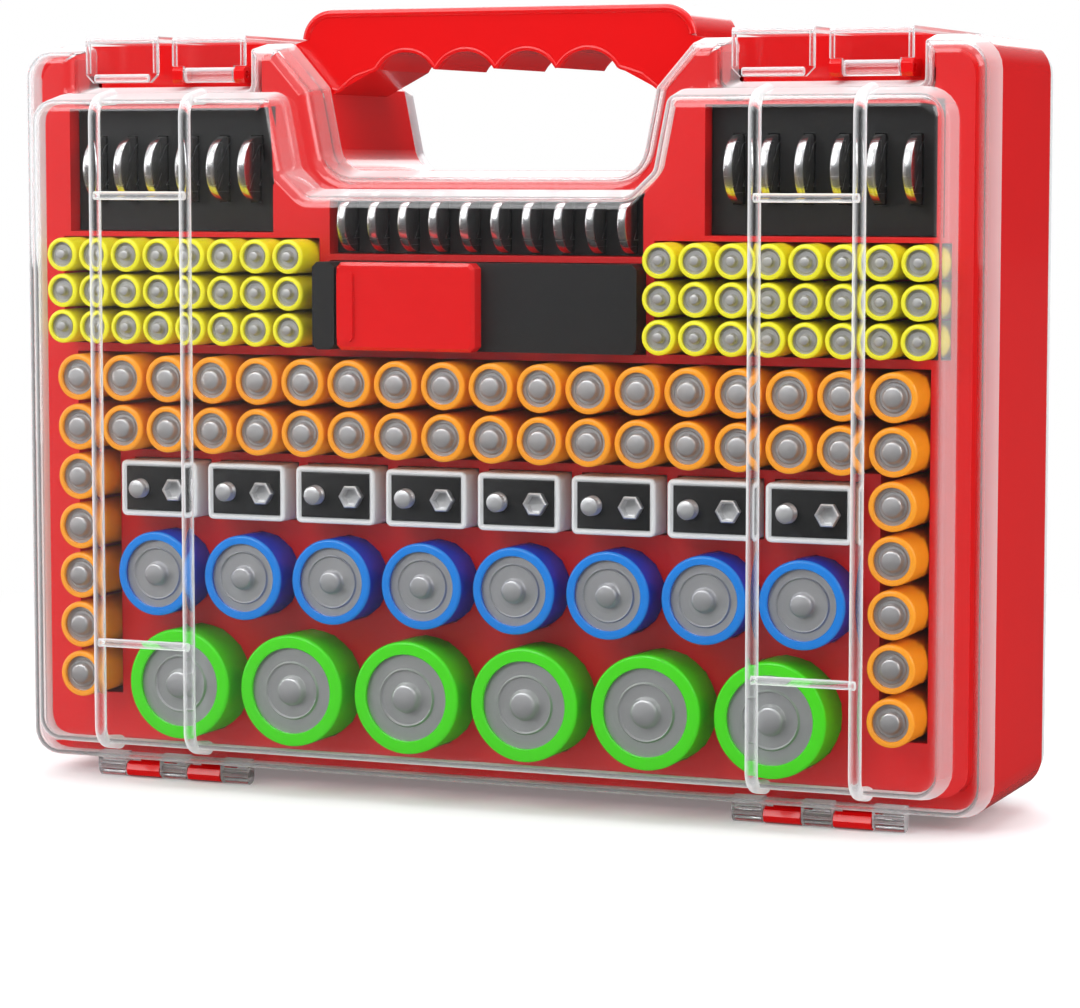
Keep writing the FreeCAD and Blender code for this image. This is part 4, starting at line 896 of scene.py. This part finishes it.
for kind, place in STRAP_PLACES.items():
    rods = strap_rods(place)
    front_strap, rear_strap = f"latch_front_{kind}", f"latch_rear_{kind}"
    make_piece(front_strap + "_rods", rods, front_strap, clear_rod)
    make_piece(rear_strap + "_rods", half_turned(rods), rear_strap, clear_rod)
print("straps with rods: 4")

# %% [markdown]
# ## Upright cells
# A cell shows its positive end: the wrap folds over the can as a flat ring with a rounded shoulder,
# inside it lies a grey disc with a pressed ring, and the terminal stands in the middle. Both parts are
# turned profiles, so one cell is worked out and copied to every place.


# %% Turned cell
def wrap_profile(radius, lip, length, shoulder=0.9, sink=1.4):
    """From the recess over the lip, the flat ring and the shoulder, down the barrel to the foot."""
    corner = [(lip, sink), (lip, 0.25), (lip + 0.25, 0.0), (radius - shoulder, 0.0)]
    angle = np.linspace(0, np.pi / 2, 5)[1:]
    arc = [(radius - shoulder + shoulder * math.sin(a), shoulder - shoulder * math.cos(a)) for a in angle]
    return corner + arc + [(radius, length - 0.8), (radius - 0.8, length)]


def cap_profile(lip, bead, nub, rise, sink=1.3):
    """The terminal's top and side, the disc, its pressed ring and the disc up to the wrap's lip."""
    soft = 0.22 * nub
    angle = np.linspace(0, np.pi / 2, 4)
    top = [(nub - soft + soft * math.sin(a), -rise + soft - soft * math.cos(a)) for a in angle]
    foot = [(nub * 1.03, sink - 0.35), (nub * 1.03 + 0.35, sink)]
    ring = [(bead - 0.035 * lip, sink), (bead, sink - 0.05 * lip), (bead + 0.035 * lip, sink)]
    return top + foot + ring + [(lip + 0.1, sink), (lip + 0.1, sink + 0.4), (0.3, sink + 0.4)]


def cell_map(piece, centres, scale=0.1):
    """A map for turned metal: u is the share of a turn and v the distance from the nearest centre."""
    mesh = piece.data
    place = np.zeros(len(mesh.vertices) * 3, np.float32)
    mesh.vertices.foreach_get("co", place)
    place = place.reshape(-1, 3) / MM
    centres = np.asarray(centres, float)
    gap = place[:, None, [0, 2]] - centres[None, :, [0, 2]]
    nearest = np.argmin((gap ** 2).sum(-1), axis=1)
    gap = gap[np.arange(len(place)), nearest]
    turns = np.arctan2(gap[:, 1], gap[:, 0]) / (2 * np.pi)
    flat = np.column_stack([turns, np.hypot(gap[:, 0], gap[:, 1]) * scale])
    corners = np.zeros(len(mesh.loops), np.int32)
    mesh.loops.foreach_get("vertex_index", corners)
    layer = mesh.uv_layers.new(name="turned")
    layer.data.foreach_set("uv", flat[corners].astype(np.float32).ravel())


def upright_cells(name, places, face, size, ring_shares, wrap, node, around):
    """Every cell of one size: wraps and caps, with the front ring at the depth of the face. The size is
    diameter, length and rise of the terminal; the shares of the radius are lip, pressed ring and terminal."""
    diameter, length, rise = size
    lip, bead, nub = (share * diameter / 2 for share in ring_shares)
    centres = [(x, -face, z) for x, z in places]
    wraps = repeated(turned(wrap_profile(diameter / 2, lip, length), around), centres)
    caps = repeated(turned(cap_profile(lip, bead, nub, rise), around), centres)
    wrap_piece = make_piece(name + "_wraps", wraps, "case", wrap, smooth=40.0)
    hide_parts(node)
    cap_piece = make_piece(name + "_caps", caps, "case", cap_metal, smooth=40.0)
    cell_map(cap_piece, centres)


def spread(count, pitch):
    """Places of a row about the middle."""
    return (np.arange(count) - (count - 1) / 2) * pitch


AA_PITCH = 15.4
AA_ROWS = (126.3, 110.9)
AA_COLUMN = 130.9
AAA_PITCH = 11.1
AAA_NEAR = 59.6
AAA_TOP_ROW = 164.0
C_PITCH, C_ROW = 29.8, 66.3
D_PITCH, D_ROW = 38.2, 32.8

aa_places = [(x, z) for z in AA_ROWS for x in spread(18, AA_PITCH)]
aa_places += [(side * AA_COLUMN, AA_ROWS[1] - AA_PITCH * (i + 1)) for side in (-1, 1) for i in range(5)]
aaa_places = [
    (side * (AAA_NEAR + AAA_PITCH * column), AAA_TOP_ROW - AAA_PITCH * row)
    for side in (-1, 1) for column in range(8) for row in range(3)
]
c_places = [(x, C_ROW) for x in spread(8, C_PITCH)]
d_places = [(x, D_ROW) for x in spread(6, D_PITCH)]
for name, places, face, size, ring_shares, wrap, around in (
    ("aa", aa_places, 48.0, (14.3, 50.5, 0.7), (0.76, 0.6, 0.43), aa_wrap, 32),
    ("aaa", aaa_places, 46.0, (10.4, 44.5, 0.6), (0.74, 0.6, 0.28), aaa_wrap, 24),
    ("c", c_places, 48.0, (26.0, 50.0, 1.0), (0.8, 0.6, 0.26), c_wrap, 56),
    ("d", d_places, 50.0, (34.0, 61.5, 0.9), (0.77, 0.5, 0.25), d_wrap, 64),
):
    upright_cells(name, places, face, size, ring_shares, wrap, name + "_cells", around)
print("cells:", len(aa_places), len(aaa_places), len(c_places), len(d_places))

# %% [markdown]
# ## Square cells
# Each square cell is a white case whose black top lies inside a thin white edge. One terminal is a round
# stud and the other a six-sided cup, both pressed from bright metal.


# %% Square cells
def box_corners(width, height):
    """Four corners of a rectangle about the middle, anticlockwise."""
    x, z = width / 2, height / 2
    return [(-x, -z), (x, -z), (x, z), (-x, z)]


def closed_rings(rings):
    """A shell from rings with a flat fill at both ends."""
    count, around = rings.shape[:2]
    faces = ring_faces(count, around)
    faces += filled([rings[0]], [0]) + filled([rings[-1]], [(count - 1) * around])
    return rings.reshape(-1, 3), faces


NINE_FACE = 44.0
NINE_ROW = 92.2
NINE_PITCH = 30.0
NINE_SIZE = (26.3, 17.3)
NINE_CORNER = 1.8
TERMINAL_OFFSET = 6.35

nine_places = [(x, NINE_ROW) for x in spread(8, NINE_PITCH)]
nine_centres = [(x, 0.0, z) for x, z in nine_places]
nine_corners = box_corners(*NINE_SIZE)
case_points = [(2.0, -NINE_FACE + 1.0), (1.1, -NINE_FACE), (0.0, -NINE_FACE), (0.0, 2.0), (1.0, 2.5)]
case_profile = eased(case_points, [0.3, 0.8, 0.3], 4)
nine_case = closed_rings(carried(nine_corners, [NINE_CORNER] * 4, case_profile, 5))
top_profile = [(1.9, -NINE_FACE + 0.9), (1.9, -NINE_FACE + 0.35), (2.1, -NINE_FACE + 0.2)]
nine_top = closed_rings(carried(nine_corners, [NINE_CORNER] * 4, top_profile, 5))
stud_profile = [
    (3.0, 0.4), (3.0, -0.3), (2.75, -0.7), (2.45, -1.0), (2.45, -1.9), (2.9, -2.4), (2.6, -3.0), (1.9, -3.25),
    (0.8, -3.3),
]
stud = turned(stud_profile, 28)
cup_profile = [
    (3.3, 0.4), (3.3, -0.8), (3.75, -1.6), (3.75, -2.9), (3.35, -3.2), (2.7, -3.1), (2.4, -1.2), (0.6, -1.0),
]
cup = turned(cup_profile, 6)
terminals = joined(*[
    repeated(shape, [(x + offset, -NINE_FACE + 0.2, z) for x, z in nine_places])
    for shape, offset in ((stud, -TERMINAL_OFFSET), (cup, TERMINAL_OFFSET))
])
nine_piece = make_piece(
    "nine_volt_cases", repeated(nine_case, nine_centres), "case", white_case, smooth=50.0)
weighted(nine_piece)
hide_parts("nine_volt_cells")
nine_tops = repeated(nine_top, nine_centres)
make_piece("nine_volt_tops", nine_tops, "case", black_satin, smooth=50.0)
terminal_piece = make_piece("nine_volt_terminals", terminals, "case", stud_metal, smooth=30.0)
cell_map(terminal_piece, [(x + s * TERMINAL_OFFSET, 0, z) for x, z in nine_places for s in (-1, 1)])
print("square cells:", len(nine_places))

# %% [markdown]
# ## Coin cells
# The coin cells stand on edge in black holders, so only half of each disc shows. The disc is a turned
# profile with a rounded rim and a step on one face, laid over so that its axis runs along x.


# %% Coin cells
def coin(diameter, thickness):
    """Disc with its axis along x: a smaller cap on one face, a seam, and a rounded can."""
    radius = diameter / 2
    cap = [(radius * 0.8, 0.0), (radius * 0.84, 0.1), (radius * 0.86, 0.45)]
    can = [
        (radius - 0.5, 0.5), (radius - 0.15, 0.65), (radius, 1.0),
        (radius, thickness - 0.5), (radius - 0.15, thickness - 0.15), (radius - 0.5, thickness),
    ]
    points, faces = turned(cap + can, 48)
    return np.column_stack([points[:, 1] - thickness / 2, points[:, 0], points[:, 2]]), faces


COIN_DEPTH = 30.0
COIN_THICKNESS = 3.2
LARGE_COIN, SMALL_COIN = 20.0, 18.0
SIDE_COINS, SIDE_COIN_ROW, SIDE_COIN_PITCH = 105.0, 190.3, 10.7
MIDDLE_COIN_ROW, MIDDLE_COIN_PITCH = 174.5, 10.05
REAR_COINS, REAR_COIN_ROW, REAR_COIN_PITCH = 103.15, 198.15, 9.2

side_coins = [
    (s * (SIDE_COINS + x), -COIN_DEPTH, SIDE_COIN_ROW) for s in (-1, 1) for x in spread(6, SIDE_COIN_PITCH)
]
middle_coins = [(x, -COIN_DEPTH, MIDDLE_COIN_ROW) for x in spread(10, MIDDLE_COIN_PITCH)]
rear_coins = [
    (s * (REAR_COINS + x), COIN_DEPTH, REAR_COIN_ROW) for s in (-1, 1) for x in spread(8, REAR_COIN_PITCH)
]
large_coin = coin(LARGE_COIN, COIN_THICKNESS)
small_coin = coin(SMALL_COIN, COIN_THICKNESS)
front_coin_shape = joined(repeated(large_coin, side_coins), repeated(small_coin, middle_coins))
front_coin_piece = make_piece("front_coin_cells", front_coin_shape, "case", bright_metal)
rear_coin_piece = make_piece(
    "rear_coin_cells", repeated(small_coin, rear_coins), "case", bright_metal)
cell_map(front_coin_piece, side_coins + middle_coins)
cell_map(rear_coin_piece, rear_coins)
print("coin cells:", len(side_coins) + len(middle_coins) + len(rear_coins))

# %% [markdown]
# ## Lying cells at the rear
# The rear tray holds eight sizes of lying cells in rows. Each is a turned profile along x with a small
# terminal at the end that is on the right when the case is seen from behind.


# %% Lying cells
REAR_FACE = 34.5


def lying_cell(x_low, x_high, z, diameter):
    """Barrel along x between two ends, its axis a quarter of its diameter outside the deck's face."""
    radius = diameter / 2
    soft = 0.07 * diameter
    profile = [
        (radius * 0.6, x_low + 0.3), (radius - soft, x_low), (radius - 0.3 * soft, x_low + 0.3 * soft),
        (radius, x_low + soft), (radius, x_high - soft), (radius - 0.3 * soft, x_high - 0.3 * soft),
        (radius - soft, x_high), (radius * 0.5, x_high - 0.1),
    ]
    points, faces = turned(profile, 32)
    y = REAR_FACE + 0.25 * diameter
    return np.column_stack([points[:, 1], points[:, 0] + y, points[:, 2] + z]), faces


def nub(x, z, diameter):
    """Terminal at the low end of a lying cell."""
    return cross_cylinder(x - 1.6, x + 0.6, REAR_FACE + 0.25 * diameter, z, diameter * 0.2, 16, 0.3)


def row_spans(half_span, shares, gap=4.6):
    """Ends of the cells in a row: the span less its gaps is shared out."""
    room = 2 * half_span - gap * (len(shares) - 1)
    lengths = np.asarray(shares) / sum(shares) * room
    starts = -half_span + np.concatenate([[0], np.cumsum(lengths + gap)[:-1]])
    return [(low, low + length) for low, length in zip(starts, lengths)]


def rows(spans, first, pitch=0.0, count=1):
    """Each span on each of the rows, which go down from the first one."""
    return [(span, first - pitch * i) for i in range(count) for span in spans]


def end_spans(half_span, length):
    """One span of a length at both ends of the full span."""
    return [(-half_span, -half_span + length), (half_span - length, half_span)]


FULL = 141.9
WIDE_LENGTH = 68.4
CAMERA_HALF = 67.9
MEDIUM_END = 53.1
SLIM_HALF = 74.1
TOP_ROW = 173.4
HALF_ROW = TOP_ROW - 39.4
SHORT_ROW = TOP_ROW - 58.5
MEDIUM_ROW = TOP_ROW - 75.1
MEDIUM_PITCH = 15.9
THIN_ROW = TOP_ROW - 122.2
TINY_ROW = TOP_ROW - 146.2

last_medium = MEDIUM_ROW - 2 * MEDIUM_PITCH
sixths = row_spans(FULL, [1] * 6)
wides = rows(end_spans(FULL, WIDE_LENGTH), TOP_ROW, 20.15, 3)
cameras = rows(row_spans(CAMERA_HALF, (0.27, 0.46, 0.27)), TOP_ROW, 18.3, 2)
halves = rows(row_spans(CAMERA_HALF, (0.23, 0.27, 0.27, 0.23)), HALF_ROW)
mediums = rows(row_spans(FULL, [1] * 5), MEDIUM_ROW, MEDIUM_PITCH, 2)
mediums += rows(end_spans(FULL, MEDIUM_END), last_medium)
slims = rows(row_spans(SLIM_HALF, (0.22, 0.28, 0.28, 0.22)), last_medium)
lying = {
    "wide": (18.0, "light_green_wrap", light_green_wrap, wides),
    "camera": (16.5, "blue_wrap", blue_wrap, cameras),
    "half": (15.6, "dark_green_wrap", dark_green_wrap, halves),
    "short": (12.7, "yellow_wrap", yellow_wrap, rows(row_spans(FULL, [1] * 9), SHORT_ROW)),
    "medium": (14.1, "orange_wrap", orange_wrap, mediums),
    "slim": (9.7, "cyan_wrap", cyan_wrap, slims),
    "thin": (10.2, "royal_blue_wrap", royal_wrap, rows(sixths, THIN_ROW, 11.7, 2)),
    "tiny": (8.1, "green_wrap", green_wrap, rows(sixths, TINY_ROW, 9.5, 2)),
}
nubs = []
for kind, (diameter, slot_name, finish, cells) in lying.items():
    shapes = [lying_cell(low, high, z, diameter) for (low, high), z in cells]
    row = make_piece(f"rear_{kind}_wraps", joined(*shapes), "case", finish, smooth=40.0)
    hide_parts(f"rear_{kind}_cells")
    nubs += [nub(low, z, diameter) for (low, high), z in cells]
nub_piece = make_piece("rear_cell_nubs", joined(*nubs), "case", bright_metal)
cell_map(nub_piece, [(0.0, 0.0, 100.0)])
print("lying cells:", len(nubs))
